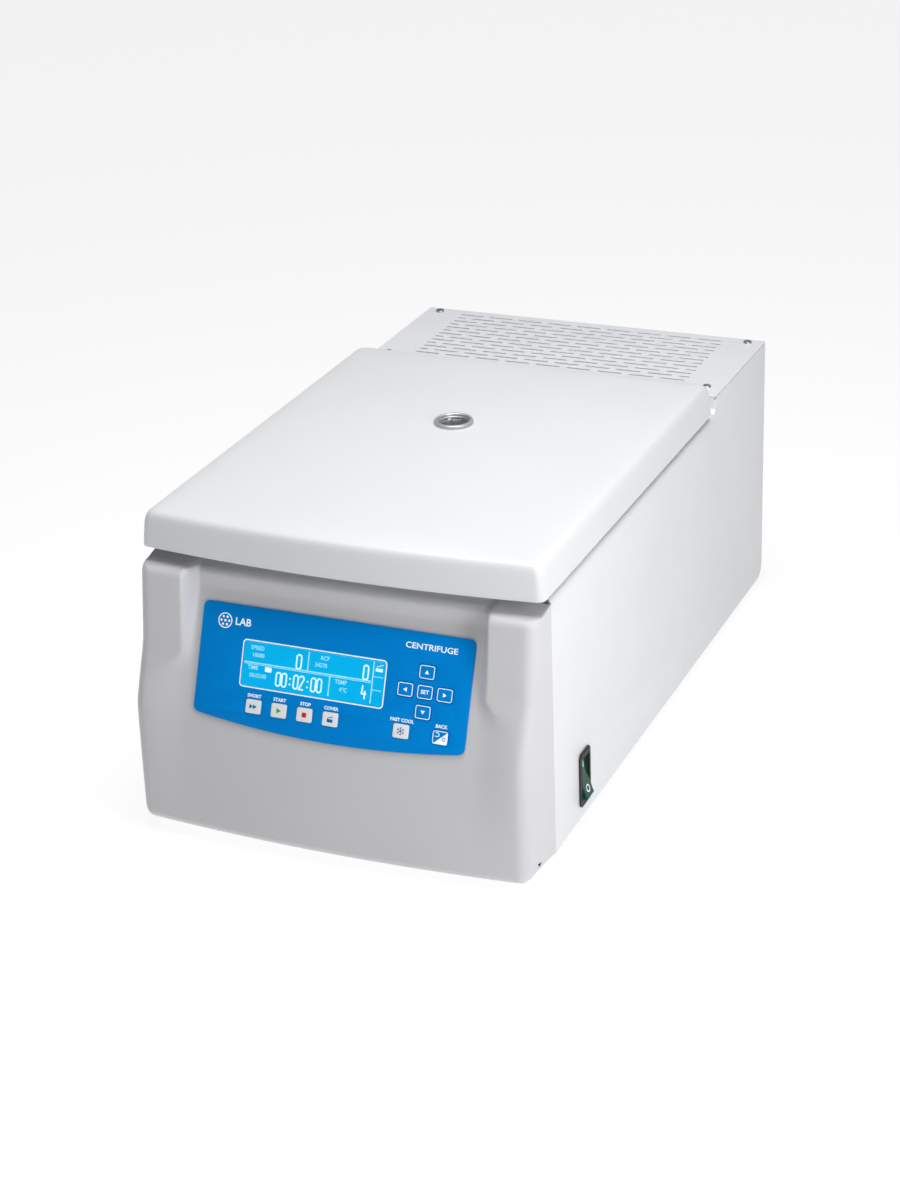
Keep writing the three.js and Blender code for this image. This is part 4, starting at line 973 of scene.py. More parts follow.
def key_extra(key, x, s, level):
    """Signs made of lines or letters, as (mesh, ink) pairs."""
    made = []
    if key == "key_set":
        made.append((lettering("SET", x, s, 3.4, level, weight=0.09), "white_ink"))
    if key == "key_fast_cool":
        turns = [math.pi / 3 * i + math.pi / 6 for i in range(6)]
        for t in turns[:3]:
            dx, dy = 3.3 * math.cos(t), 3.3 * math.sin(t)
            made.append((ribbon([(x - dx, s - dy), (x + dx, s + dy)], 0.55, level), "blue_ink"))
        for t in turns:
            u, v = x + 2.1 * math.cos(t), s + 2.1 * math.sin(t)
            arms = [(u + 1.3 * math.cos(t + d), v + 1.3 * math.sin(t + d)) for d in (0.7, -0.7)]
            made.append((ribbon([arms[0], (u, v), arms[1]], 0.45, level), "blue_ink"))
    if key == "key_back":
        low, far = s - KEY_H / 2 + 0.6, x + KEY_W / 2 - 0.6
        half = [(x - KEY_W / 2 + 1.2, low), (far, low), (far, s + KEY_H / 2 - 1.2)]
        made.append((patch(half, level), "white_ink"))
        bend = arc(x - 2.4, s + 2.3, 1.5, -90, 90, 8)
        line = [(x - 4.6, s + 0.8), *bend, (x - 4.0, s + 3.8)]
        made.append((ribbon(line, 0.6, level), "white_ink"))
        dial = circle(x + 3.4, s - 0.9, 1.3, 24)
        made.append((ribbon(dial, 0.6, level + INK, cyclic=True), "blue_ink"))
    return made


def key_cap(x, s):
    """A film key, slightly crowned, with rounded edges."""
    loops = []
    steps = [(0.0, KEY_FROM), (0.0, KEY_TO - 0.55), (0.12, KEY_TO - 0.25), (0.4, KEY_TO - 0.1),
             (1.4, KEY_TO - 0.03), (3.2, KEY_TO), (5.4, KEY_TO)]
    for inset, level in steps:
        u, v = KEY_W / 2 - inset, KEY_H / 2 - inset
        r = max(0.3, 1.6 - inset * 0.25)
        loops += [machine_from("console", a, b, level) for a, b in padded(x, s, u, v, min(r, v * 0.9), 5)]
    count = len(loops) // len(steps)
    return mesh_of(loops, grid_faces(len(steps), count, wrap=True) + ring_caps(count, len(loops)))


def build_keys():
    for key, (x, s) in KEY_PLACES.items():
        blue = key in ("key_up", "key_left", "key_set", "key_right", "key_down", "key_back")
        looks = ["label" if blue else "key_white"]
        parts = [painted(key_cap(x, s), 0)]
        level = KEY_TO + 0.005
        signs = [(patch([(x + u, s + v) for u, v in shape], level), ink) for shape, ink in key_symbol(key)]
        signs += key_extra(key, x, s, level)
        if blue:
            frame_line = padded(x, s, KEY_W / 2 - 0.75, KEY_H / 2 - 0.75, 1.6)
            signs.append((ribbon(frame_line, 0.6, KEY_TO - INK, cyclic=True), "white_ink"))
        for mesh, ink in signs:
            if ink not in looks:
                looks.append(ink)
            parts.append(painted(mesh, looks.index(ink)))
        piece(key + "_cap", joined(parts), key, looks, [key])


# ---------- power switch ----------

def switch_pad(half_y, half_z, r):
    return padded(SWITCH_Y, SWITCH_Z, half_y, half_z, r)


def build_switch():
    y0, y1 = SWITCH_Y - 12.5, SWITCH_Y + 12.5
    z0, z1 = SWITCH_Z - 26, SWITCH_Z + 26
    cut = 3
    flange = [(y0 + cut, z0), (y1 - cut, z0), (y1, z0 + cut), (y1, z1 - cut), (y1 - cut, z1), (y0 + cut, z1),
              (y0, z1 - cut), (y0, z0 + cut)]
    mouth = switch_pad(8.6, 20.2, 1.0)
    front = plate(flange, "x", HALF + 0.3, HALF + 2, [mouth], edge=0.45, steps=3)
    lip = plate(switch_pad(9.9, 21.6, 1.2), "x", HALF + 1.2, HALF + 2.4, [mouth], edge=0.35, steps=3)
    can = plate(switch_pad(11.2, 21.4, 1.2), "x", HALF - 22, HALF + 0.4, [mouth], edge=0.2)
    floor = plate(switch_pad(11.2, 21.4, 1.2), "x", HALF - 24, HALF - 22, edge=0.2)
    ticks = [box((HALF + 2.0, y0 + 2.2, SWITCH_Z + dz - 0.6), (HALF + 2.5, y1 - 2.2, SWITCH_Z + dz + 0.6))
             for dz in (-24, 24)]
    piece("switch_bezel", joined([front, lip, can, floor, *ticks]), "base", "black", ["switch_frame"],
          bevel=0.12)
    build_rocker()


ROCKER_TILT = math.radians(11)
ROCKER_HALF = 19.4


def rocker_face(along):
    """How far the dished face stands out at a distance along it from the pivot."""
    return 2.4 + 2.4 * (abs(along) / ROCKER_HALF) ** 1.6


def rocker_point(along, out):
    return (ROCKER_X + out * math.cos(ROCKER_TILT) - along * math.sin(ROCKER_TILT),
            SWITCH_Z + out * math.sin(ROCKER_TILT) + along * math.cos(ROCKER_TILT))


def on_rocker(along, across, lift):
    """A point just above the rocker's dished face."""
    x, z = rocker_point(along, rocker_face(along) + lift)
    return x, SWITCH_Y + across, z


def build_rocker():
    half = ROCKER_HALF
    face = [(a, rocker_face(a)) for a in span(-half, half, 20)]
    outline = face + [(half, -1), (half * 0.55, -8), (-half * 0.55, -8), (-half, -1)]
    body = prism([rocker_point(a, out) for a, out in outline], "y", SWITCH_Y - 8.2, SWITCH_Y + 8.2)
    count = 28
    ring = [on_rocker(-12 + radius * math.cos(t), radius * math.sin(t), 0.03) for radius in (2.5, 3.5)
            for t in (2 * math.pi * j / count for j in range(count))]
    off_sign = mesh_of(ring, grid_faces(2, count, wrap=True), close=False)
    corners = [(8.4, -0.6), (15.6, -0.6), (15.6, 0.6), (8.4, 0.6)]
    on_sign = mesh_of([on_rocker(a, b, 0.06) for a, b in corners], [(0, 1, 2, 3)], close=False)
    parts = [painted(body, 0), painted(off_sign, 1), painted(on_sign, 1)]
    piece("rocker_cap", joined(parts), "switch_rocker", ["green", "white_ink"], ["switch_rocker"], bevel=0.5)


# ---------- lid ----------

def lid_front(x, inset):
    return LID_FRONT + inset + LID_BOW * (x / LID_HALF) ** 2


def lid_outline(inset, corner_steps=10):
    """Plan outline of the lid moved in by an inset, starting at the middle of the front."""
    half = LID_HALF - inset
    back = LID_BACK - inset
    r = LID_CORNER
    slope = math.degrees(math.atan(2 * LID_BOW * (half - r) / LID_HALF ** 2))
    corner_y = lid_front(half - r, inset) + r
    right = [(x, lid_front(x, inset)) for x in span(0, half - r, 16)]
    right += arc(half - r, corner_y, r, -90 + slope, 0, corner_steps)[1:]
    right += [(half, y) for y in span(corner_y, back - r, 24)[1:]]
    right += arc(half - r, back - r, r, 0, 90, corner_steps)[1:]
    right += [(x, back) for x in span(half - r, 0, 12)[1:]]
    return right + [(-x, y) for x, y in right[-2:0:-1]]


def lid_top(x, y):
    """Height of the lid's dome."""
    middle = (LID_FRONT + LID_BACK) / 2
    u = x / LID_HALF
    v = (y - middle) / (LID_BACK - middle)
    return LID_RIM_TOP + LID_DOME * max(0.0, 1 - u * u) * (0.45 + 0.55 * max(0.0, 1 - v * v))


LID_RIM = [(1.2, 239.6), (0.35, 239.75), (0.0, 240.4), (0.15, 243), (0.5, 248), (1.0, 253.5), (1.5, 259),
           (1.8, 261.6), (2.3, 264), (2.95, 266.2), (3.9, 268.2), (5.1, 269.75), (6.6, 270.9), (8.5, 271.6),
           (10.5, 272)]
DOME_SHARES = (0.985, 0.97, 0.95, 0.92, 0.88, 0.83, 0.76, 0.68, 0.59, 0.5, 0.4, 0.3, 0.2, 0.1, 0.04, 0.0)
LID_WALL = 2.6


def hinge_notches(front_y, low, high):
    """Cutters for the two gaps that the hinge arms swing in."""
    back = LID_BACK + 5
    return [box((x - NOTCH_HALF, front_y, low), (x + NOTCH_HALF, back, high)) for x in (-HINGE_X, HINGE_X)]


def build_lid_shell():
    """Rings up the rim, then rings over the dome to the hole of the port."""
    verts = [(x, y, z) for inset, z in LID_RIM for x, y in lid_outline(inset)]
    last_inset, last_z = LID_RIM[-1]
    edge = lid_outline(last_inset)
    hole_r = PORT_TUBE_R + 0.4
    for share in DOME_SHARES:
        settle = math.exp(-(1 - share) * 30)
        for x, y in edge:
            away = Vector((x, y - CHAMBER_Y))
            ring = away.normalized() * hole_r
            px = lerp(ring.x, x, share)
            py = CHAMBER_Y + lerp(ring.y, y - CHAMBER_Y, share)
            verts.append((px, py, lerp(lid_top(px, py), last_z, settle)))
    mesh = mesh_of(verts, grid_faces(len(LID_RIM) + len(DOME_SHARES), len(edge), wrap=True))
    shell = cut_by(thickened(mesh, LID_WALL, -1), hinge_notches(HINGE_Y - 2, LID_BOTTOM - 6, 263.5))
    piece("lid_cover", shell, "lid", "lid", ["lid_shell"], angle=55)


def build_port():
    top = PORT_TOP
    low = top - 2.8
    ring = [(PORT_BORE_R, LINER_Z0), (PORT_TUBE_R, LINER_Z0), (PORT_TUBE_R, low), (PORT_FLANGE_R, low),
            (PORT_FLANGE_R, top - 0.9), (PORT_FLANGE_R - 0.9, top), (PORT_TUBE_R + 0.6, top),
            (PORT_TUBE_R - 0.4, top - 0.7), (PORT_TUBE_R - 0.6, top - 2.6), (PORT_BORE_R + 1.2, top - 2.9),
            (PORT_BORE_R + 1.2, top - 7), (PORT_BORE_R, top - 7), (PORT_BORE_R, LINER_Z0)]
    piece("port_bezel_ring", spun(ring, 128, 0.35), "lid", "satin", ["port_ring"], angle=40)
    lens = [(0, top - 6.7), (PORT_BORE_R + 1.0, top - 6.7), (PORT_BORE_R + 1.0, top - 4.0),
            (PORT_BORE_R + 0.6, top - 3.7), (0, top - 3.7)]
    piece("port_lens", spun(lens), "lid", "glass", ["port_glass"])


def build_liner():
    port = circle(0, CHAMBER_Y, PORT_TUBE_R + 0.6, 48)
    sheet = plate(lid_outline(LINER_INSET, 4), "z", LINER_Z0, LINER_Z1, [port], edge=0.3)
    parts = [cut_by(sheet, hinge_notches(HINGE_Y - 9, LINER_Z0 - 4, LINER_Z1 + 4))]
    for side in (-1, 1):
        for flank in (-1, 1):
            x = side * HINGE_X + flank * (ARM_HALF + 1 + LUG / 2)
            outline = [(HINGE_Y - 14, LINER_Z1), (HINGE_Y + 3.8, LINER_Z1)]
            outline += arc(HINGE_Y, HINGE_Z, 3.8, 0, 150, 10) + [(HINGE_Y - 14, LINER_Z1 + 5)]
            hole = circle(HINGE_Y, HINGE_Z, ROD_R + 0.3, 32)
            parts.append(plate(outline, "x", x - LUG / 2, x + LUG / 2, [hole], edge=0.3))
    for r in (88, 100):
        high, low = LINER_Z0 + 0.3, LINER_Z0 - 0.6
        bead = [(r - 2.5, high), (r - 1.2, low), (r + 1.2, low), (r + 2.5, high), (r - 2.5, high)]
        parts.append(spun(bead, 128, 0.5))
    piece("lid_inner_plate", joined(parts), "lid", "coat", ["lid_liner"], angle=35)
    long = HINGE_X + ARM_HALF + 1 + LUG + 1.5
    piece("lid_hinge_rod", rod((-long, HINGE_Y, HINGE_Z), (long, HINGE_Y, HINGE_Z), ROD_R), "lid", "steel",
          ["hinge_rod"], bevel=0.4)


def build_striker():
    y, low = LOCK_Y, LOCK_Z + 8.3
    outline = rounded(-9, 9, low, LINER_Z0 - 0.3, 1.5)
    eye = rounded(-6, 6, low + 1.6, LOCK_Z + 19, 1.5)
    blade = plate(outline, "y", y - 1.5, y + 1.5, [eye], edge=0.3)
    foot = plate(padded(0, y, 13, 7, 2), "z", LINER_Z0 - 2.3, LINER_Z0 - 0.3, edge=0.3)
    heads = [lathe([(0, LINER_Z0 - 3.6), (1.8, LINER_Z0 - 3.5), (2.2, LINER_Z0 - 2.9), (2.2, LINER_Z0 - 2.2),
                    (0, LINER_Z0 - 2.2)], side * 10.4, y, 24) for side in (-1, 1)]
    piece("lid_lock_striker", joined([blade, foot, *heads]), "lid", "zinc", ["lid_striker"])


# ---------- housing ----------

HUMP_SIDE_TOP = HUMP_TOP - SHEET - GAP
REAR_FACE = REAR - GAP
INNER_HALF = HALF - SHEET - GAP


def side_outline():
    top, fold = HUMP_SIDE_TOP, SIDE_TOP - SIDE_EDGE
    points = [(GAP, UNDER), *arc(REAR - REAR_CORNER, UNDER + REAR_CORNER, REAR_CORNER, -90, 0, 12)]
    points += [(REAR, top), (HUMP_FRONT + STEP_BEVEL, top), (HUMP_FRONT, top - STEP_BEVEL)]
    points += [(HUMP_FRONT, SIDE_TOP + STEP_BEVEL), (HUMP_FRONT - STEP_BEVEL, SIDE_TOP)]
    return points + [(HUMP_FRONT - STEP_BEVEL, fold), (GAP, fold)]


def build_side(side):
    """A side sheet, its rounded top edge and the flange behind the step."""
    name = "right" if side > 0 else "left"
    inner, outer = (HALF - SHEET, HALF) if side > 0 else (-HALF, -HALF + SHEET)
    holes = [switch_pad(11.7, 21.9, 1.4)] if side > 0 else []
    sheet = plate(side_outline(), "x", inner, outer, holes, edge=0.35)
    fold = SIDE_TOP - SIDE_EDGE
    outside = arc(HALF - SIDE_EDGE, fold, SIDE_EDGE, 0, 90, 10) + [(HALF - 21, SIDE_TOP)]
    inside = arc(HALF - SIDE_EDGE, fold, SIDE_EDGE - SHEET, 0, 90, 10) + [(HALF - 21, SIDE_TOP - SHEET)]
    ring = [(HALF, fold - 0.6), *outside, *inside[::-1], (HALF - SHEET, fold - 0.6)]
    edge = prism([(side * u, v) for u, v in ring], "y", GAP, HUMP_FRONT - STEP_BEVEL)
    top = HUMP_SIDE_TOP
    step = [(0.2, SIDE_TOP + STEP_BEVEL), (0.2, top - STEP_BEVEL), (STEP_BEVEL, top - 0.2),
            (STEP_BEVEL + 1.2, top - 1.4), (1.6, top - STEP_BEVEL - 0.4), (1.6, SIDE_TOP + STEP_BEVEL - 0.4),
            (-STEP_BEVEL + 0.4, SIDE_TOP - 1.4), (-STEP_BEVEL - 0.6, SIDE_TOP - 0.1)]
    step = [(HUMP_FRONT + y, z) for y, z in step]
    flange = prism(step, "x", *sorted((side * (HALF - 0.3), side * (HALF - 13))))
    piece("housing_side_" + name, joined([sheet, edge, flange]), "base", "coat", ["side_panel_" + name],
          bevel=0.25, angle=28)


SLOT_ROWS, SLOT_ROW_PITCH, SLOT_LAST_Y = 14, 9.9, 593
SLOT_FIELD, SLOT_PITCH, SLOT_LENGTH, SLOT_HALF = 142.8, 32.3, 25.6, 1.4
SCREW_X, SCREW_FRONT, SCREW_REAR = 167.2, 461.5, 594.8


def grille_slots():
    """Staggered slots, cut off at the edge of their field."""
    slots = []
    for row in range(SLOT_ROWS):
        y = SLOT_LAST_Y - row * SLOT_ROW_PITCH
        x = -SLOT_FIELD - row % 2 * SLOT_PITCH / 2
        while x < SLOT_FIELD:
            start, end = max(x, -SLOT_FIELD), min(x + SLOT_LENGTH, SLOT_FIELD)
            if end - start > 4:
                slots.append(rounded(start, end, y - SLOT_HALF, y + SLOT_HALF, SLOT_HALF - 0.01, 3))
            x += SLOT_PITCH
    return slots


def screw_mesh(x, y, z, r=4.4, tall=2.4):
    """A pan-head screw with a cross recess."""
    head = [(0, z), (r, z), (r, z + tall * 0.35), (r * 0.93, z + tall * 0.7), (r * 0.72, z + tall * 0.93),
            (r * 0.4, z + tall), (0, z + tall)]
    turned = lathe(head, x, y, 48)
    arm = r * 0.62
    slots = [box((x - arm, y - 0.5, z + tall - 1.5), (x + arm, y + 0.5, z + tall + 1)),
             box((x - 0.5, y - arm, z + tall - 1.5), (x + 0.5, y + arm, z + tall + 1))]
    return cut_by(turned, slots)


def rear_facing_screw(x, y, z, r, tall):
    """A screw turned to face the back, with its seat at (x, y, z)."""
    screw = screw_mesh(0, 0, 0, r, tall)
    turn = Matrix.Rotation(math.radians(-90), 4, "X")
    screw.transform(Matrix.Translation(at(x, y, z)) @ turn @ Matrix.Translation(-at(0, 0, 0)))
    return screw


def build_top():
    places = {"front_left": (-SCREW_X, SCREW_FRONT), "rear_left": (-SCREW_X, SCREW_REAR),
              "front_right": (SCREW_X, SCREW_FRONT), "rear_right": (SCREW_X, SCREW_REAR)}
    holes = grille_slots() + [circle(x, y, 2.3, 24) for x, y in places.values()]
    outline = rounded(-HALF, HALF, HUMP_FRONT, REAR, 1.2, 3)
    parts = [plate(outline, "z", HUMP_TOP - SHEET, HUMP_TOP, holes, edge=0.35)]
    z = HUMP_TOP - 0.1
    boss = [(2.5, z), (7.2, z), (6.9, z + 0.25), (5.4, z + 0.38), (2.5, z + 0.38), (2.5, z)]
    parts += [lathe(boss, x, y, 48, 0.15) for x, y in places.values()]
    piece("grille_cover", joined(parts), "base", "coat", ["top_grille"], angle=35)
    for where in ("front_left", "front_right", "rear_left", "rear_right"):
        mesh = screw_mesh(*places[where], HUMP_TOP + 0.3)
        piece("cover_screw_" + where, mesh, "base", "zinc", ["grille_screw_" + where], bevel=0.1)


def build_deck():
    x, wide = HALF - SIDE_EDGE, INNER_HALF
    holes = [rounded(-14, 14, 8, 30, 3), circle(0, CHAMBER_Y, BOWL_R + 3, 128)]
    outline = rounded(-x, x, 3, HUMP_FRONT - GAP, 1, 2)
    sheet = plate(outline, "z", DECK_TOP - DECK_SHEET, DECK_TOP, holes, edge=0.3)
    low, high, r = DECK_TOP - 17, DECK_TOP - 0.6, SIDE_EDGE - SHEET
    corners = arc(wide - r, high - r, r, 0, 90, 6) + arc(-wide + r, high - r, r, 90, 180, 6)
    lip = plate([(-wide, low), (wide, low), *corners], "y", 3, 4.5, edge=0.3)
    piece("deck_sheet", joined([sheet, lip]), "base", "coat", ["deck_plate"])
    low, high = DECK_TOP - 30, HUMP_SIDE_TOP
    outline = [(-wide, low), (wide, low), (wide, high), (-wide, high)]
    panel = plate(outline, "y", HUMP_FRONT, HUMP_FRONT + SHEET, edge=0.3)
    piece("step_panel", panel, "base", "coat", ["hump_front_panel"])


def build_rear():
    x = INNER_HALF
    holes = [padded(INLET_X, INLET_Z, 14.3, 12.3, 1.5)]
    for i in range(13):
        z = FAN_Z + (i - 6) * 9.5
        half = math.sqrt(FAN_R ** 2 - (z - FAN_Z) ** 2)
        holes.append(padded(FAN_X, z, half, 2.2, 2.19, 4))
    outline = [(-x, 20.3), (x, 20.3), (x, HUMP_SIDE_TOP), (-x, HUMP_SIDE_TOP)]
    sheet = plate(outline, "y", REAR_FACE - SHEET, REAR_FACE, holes, edge=0.35)
    piece("rear_sheet", sheet, "base", "coat", ["rear_panel"])


def rear_screws():
    """Small pan-head screws round the rear panel, seated on it."""
    made = [rear_facing_screw(x, REAR - 0.35, z, 3.4, 1.7) for x in (-170, 170) for z in (34, 138, 238)]
    piece("rear_screws", joined(made), "base", "zinc", bevel=0.08)


def build_inlet():
    face = REAR_FACE
    well = [(-12, -8.25), (12, -8.25), (12, 3.25), (7, 8.25), (-7, 8.25), (-12, 3.25)]
    well = [(INLET_X + x, INLET_Z + z) for x, z in well]
    body = padded(INLET_X, INLET_Z, 14, 12, 1.5)
    flange = plate(padded(INLET_X, INLET_Z, 25, 15, 3), "y", face + 0.3, REAR + 2, [well], edge=0.4, steps=3)
    can = plate(body, "y", face - 20, face + 0.4, [well], edge=0.3)
    back = plate(body, "y", face - 22, face - 19.5, edge=0.3)
    piece("mains_inlet_body", joined([flange, can, back]), "base", "black", ["power_inlet"])
    middles = [(INLET_X + dx, INLET_Z + dz) for dx, dz in ((0, 2), (-7, -2), (7, -2))]
    pins = [box((x - 1, face - 20, z - 2), (x + 1, face - 4, z + 2)) for x, z in middles]
    piece("mains_inlet_pins", joined(pins), "base", "steel", bevel=0.5)
    heads = [rear_facing_screw(INLET_X + dx, REAR + 0.75, INLET_Z, 2.6, 1.2) for dx in (-20, 20)]
    piece("mains_inlet_screws", joined(heads), "base", "zinc")


def build_base():
    rear_y = REAR - REAR_CORNER
    outer = arc(rear_y, REAR_CORNER, REAR_CORNER - GAP, -90, 0, 12)
    inner = arc(rear_y, REAR_CORNER, REAR_CORNER - SHEET, 0, -90, 12)
    outline = [(2, 0), (rear_y, 0), *outer[1:], (REAR_FACE, 20), (REAR - SHEET, 20), *inner]
    outline += [(2 + SHEET, SHEET), (2 + SHEET, 14), (2, 14)]
    pan = prism(outline, "x", -INNER_HALF, INNER_HALF)
    piece("pan_sheet", pan, "base", "zinc", ["base_pan"], bevel=0.3, angle=30)
    h = FOOT_HEIGHT
    profile = [(0, -h), (8, -h), (8.6, -h + 0.8), (9.6, -h + 0.8), (10.2, -h), (11.6, -h), (12.6, -h + 0.5),
               (13.1, -h + 1.6), (14, -0.9), (13.6, -GAP), (0, -GAP)]
    for where, x, y in (("front_left", -FOOT_X, 30), ("front_right", FOOT_X, 30),
                        ("rear_left", -FOOT_X, 560), ("rear_right", FOOT_X, 560)):
        piece("rubber_foot_" + where, lathe(profile, x, y, 64, 0.3), "base", "rubber", ["foot_" + where])


# ---------- chamber and drive ----------

def build_chamber():
    t, r = SHEET, BOWL_R
    floor, deck, hole = BOWL_FLOOR, DECK_TOP, BOWL_HOLE_R
    rim = deck + GAP
    bowl = [(hole, floor - t), (r - 12, floor - t), (r - 2, floor + 5), (r + t, floor + 16), (r + t, rim),
            (BOWL_RIM_R, rim), (BOWL_RIM_R, rim + t), (r + 1.5, rim + t), (r, deck - 1), (r, floor + 17),
            (r - 3, floor + 8), (r - 13, floor), (hole, floor), (hole, floor - t)]
    piece("chamber_pan", spun(bowl, 128, 0.8), "base", "bowl", ["chamber_bowl"], angle=40)
    low, high = rim + GAP + t, LINER_Z0 - GAP
    seal = [(2.5, low), (10, low), (10, low + 1.6), (8.4, low + 3), (7.5, high - 0.4), (5.8, high),
            (4, high - 0.4), (3.2, low + 3), (2.5, low + 1.6), (2.5, low)]
    seal = [(r + out, z) for out, z in seal]
    piece("chamber_lip_seal", spun(seal, 128, 0.5), "base", "seal", ["chamber_seal"], angle=50)


BORES, BORE_R, BORE_TILT, BORE_MOUTH_R, BORE_DEPTH = 6, 13, math.radians(20), 54, 56


def bore_axis(turn, depth):
    """A point on a tube bore's axis, at a depth below the rotor's dished top."""
    r = BORE_MOUTH_R + depth * math.sin(BORE_TILT)
    return r * math.cos(turn), CHAMBER_Y + r * math.sin(turn), ROTOR_TOP - 8 - depth * math.cos(BORE_TILT)


def build_rotor():
    low, top = ROTOR_BOTTOM, ROTOR_TOP
    profile = [(7.3, low), (58, low), (81, low + 2), (92, low + 16), (99, top - 18), (99, top - 3), (96, top),
               (93, top), (93, top - 8), (30, top - 8), (26, top), (7.3, top), (4.3, top), (4.3, low + 38.5),
               (5.7, low + 38.5), (7.3, low + 14), (7.3, low)]
    turns = [2 * math.pi / BORES * (i + 0.5) for i in range(BORES)]
    bores = [rod(bore_axis(t, -12), bore_axis(t, BORE_DEPTH), BORE_R, 48) for t in turns]
    body = cut_by(spun(profile, 144, 0.8), bores)
    piece("rotor_body", body, "rotor", "rotor", ["rotor"], bevel=0.4, angle=35)
    shaft = [(0, 63), (7, 63), (7, low + 14), (5.4, low + 37.5), (4, low + 37.5), (4, top - 10.6),
             (3.4, top - 10), (0, top - 10)]
    piece("drive_spindle", spun(shaft, 64, 0.3), "rotor", "steel", ["motor_shaft"])


def build_rotor_cover():
    top = ROTOR_TOP
    profile = [(0, top + GAP), (26, top + GAP), (30.5, top - 6), (90, top - 6), (92.2, top - 3.4),
               (92.2, top - 0.4), (87, top + 3), (34, top + 6), (15, top + 8), (12.6, top + 10),
               (12.6, top + 12), (0, top + 12)]
    disc = spun(profile, 144, 0.9)
    piece("rotor_lid_disc", disc, "rotor_cover", "turned", ["rotor_cover"], angle=35)
    count, lobes = 192, 24
    levels = [(12.4, 11.8), (15.2, 14), (15.8, 15), (15.8, 23.6), (15.0, 25), (12.6, 25.9), (0.1, 26)]
    verts = []
    for radius, height in levels:
        for angle in (2 * math.pi * j / count for j in range(count)):
            groove = 0.55 * max(0.0, math.cos(lobes * angle)) if radius > 15.4 else 0.0
            r = radius - groove
            verts.append((r * math.cos(angle), CHAMBER_Y + r * math.sin(angle), top + height))
    knob = mesh_of(verts, grid_faces(len(levels), count, wrap=True) + ring_caps(count, len(verts)))
    piece("rotor_lid_knob", knob, "rotor_cover", "black", bevel=0.15, angle=50)


def build_hinges():
    for side, where in ((-1, "left"), (1, "right")):
        x = side * HINGE_X
        front, back = HINGE_Y - 14, HINGE_Y + 14
        outline = [(front, DECK_TOP + GAP), (back, DECK_TOP + GAP), (back, DECK_TOP + 3),
                   (HINGE_Y + BOSS_R, DECK_TOP + 6), *arc(HINGE_Y, HINGE_Z, BOSS_R, 0, 180, 14),
                   (HINGE_Y - BOSS_R, DECK_TOP + 6), (front, DECK_TOP + 3)]
        hole = circle(HINGE_Y, HINGE_Z, ROD_R + 0.3, 32)
        arm = plate(outline, "x", x - ARM_HALF, x + ARM_HALF, [hole], edge=0.5, steps=3)
        piece("lid_arm_" + where, arm, "base", "zinc", ["hinge_arm_" + where])


def build_latch():
    y, z = LOCK_Y, LOCK_Z
    roof = DECK_TOP - DECK_SHEET - GAP
    parts = []
    for side in (-1, 1):
        parts.append(plate(rounded(y - 12, y + 26, z - 20, roof, 2), "x", side * 13 - 1, side * 13 + 1,
                           [circle(y, z, 3.3, 24)], edge=0.3))
        ear = padded(side * 19, y + 7, 6.5, 19, 1.5)
        parts.append(plate(ear, "z", roof - 2, roof, edge=0.3))
    parts.append(plate(rounded(-14, 14, z - 20, roof, 1), "y", y + 24, y + 26, edge=0.3))
    piece("lock_bracket", joined(parts), "base", "zinc", ["latch_body"])
    nose = prism([*arc(y, z, 16, 30, 114, 18), *arc(y, z, 12, 114, 30, 18)], "x", -4, 4)
    web = prism([*arc(y, z, 15, 30, 52, 4), *arc(y, z, 4.5, 62, 20, 4)], "x", -4, 4)
    hub = rod((-5, y, z), (5, y, z), 6.5, 48)
    pin = rod((-16, y, z), (16, y, z), 3, 32)
    piece("lock_hook", joined([nose, web, hub, pin]), "latch_hook", "steel", ["latch_hook"], bevel=0.3)


def build_motor():
    y = CHAMBER_Y
    profile = [(7.3, 62), (0, 62), (0, 8), (37, 8), (40, 11), (40, 40.3), (54, 40.3), (54, 46), (40, 48),
               (34, 72), (16, 74), (14, 84), (7.3, 84), (7.3, 62)]
    parts = [spun(profile, 96, 0.8)]
    centre, ribs = at(0, y, 0), 24
    for i in range(ribs):
        rib = box((-2, y + 39, 14), (2, y + 41.4, 38))
        turn = Matrix.Rotation(2 * math.pi * i / ribs, 4, "Z")
        rib.transform(Matrix.Translation(centre) @ turn @ Matrix.Translation(-centre))
        parts.append(rib)
    piece("motor_case", joined(parts), "base", "enamel", ["motor"], bevel=0.2)
    carrier = plate(circle(0, y, 84, 96), "z", 36, 40, [circle(0, y, 42, 64)], edge=0.4)
    piece("motor_carrier", carrier, "base", "zinc", ["motor_plate"])
    waisted = [(0, 1.8), (11, 1.8), (11, 5), (8.6, 10), (8, 18), (8.6, 27), (11, 32), (11, 35.7), (0, 35.7)]
    for where, degrees in (("front", -90), ("rear_right", 30), ("rear_left", 150)):
        a = math.radians(degrees)
        mesh = lathe(waisted, 68 * math.cos(a), y + 68 * math.sin(a), 48, 0.8)
        piece("rubber_damper_" + where, mesh, "base", "rubber", ["damper_" + where])


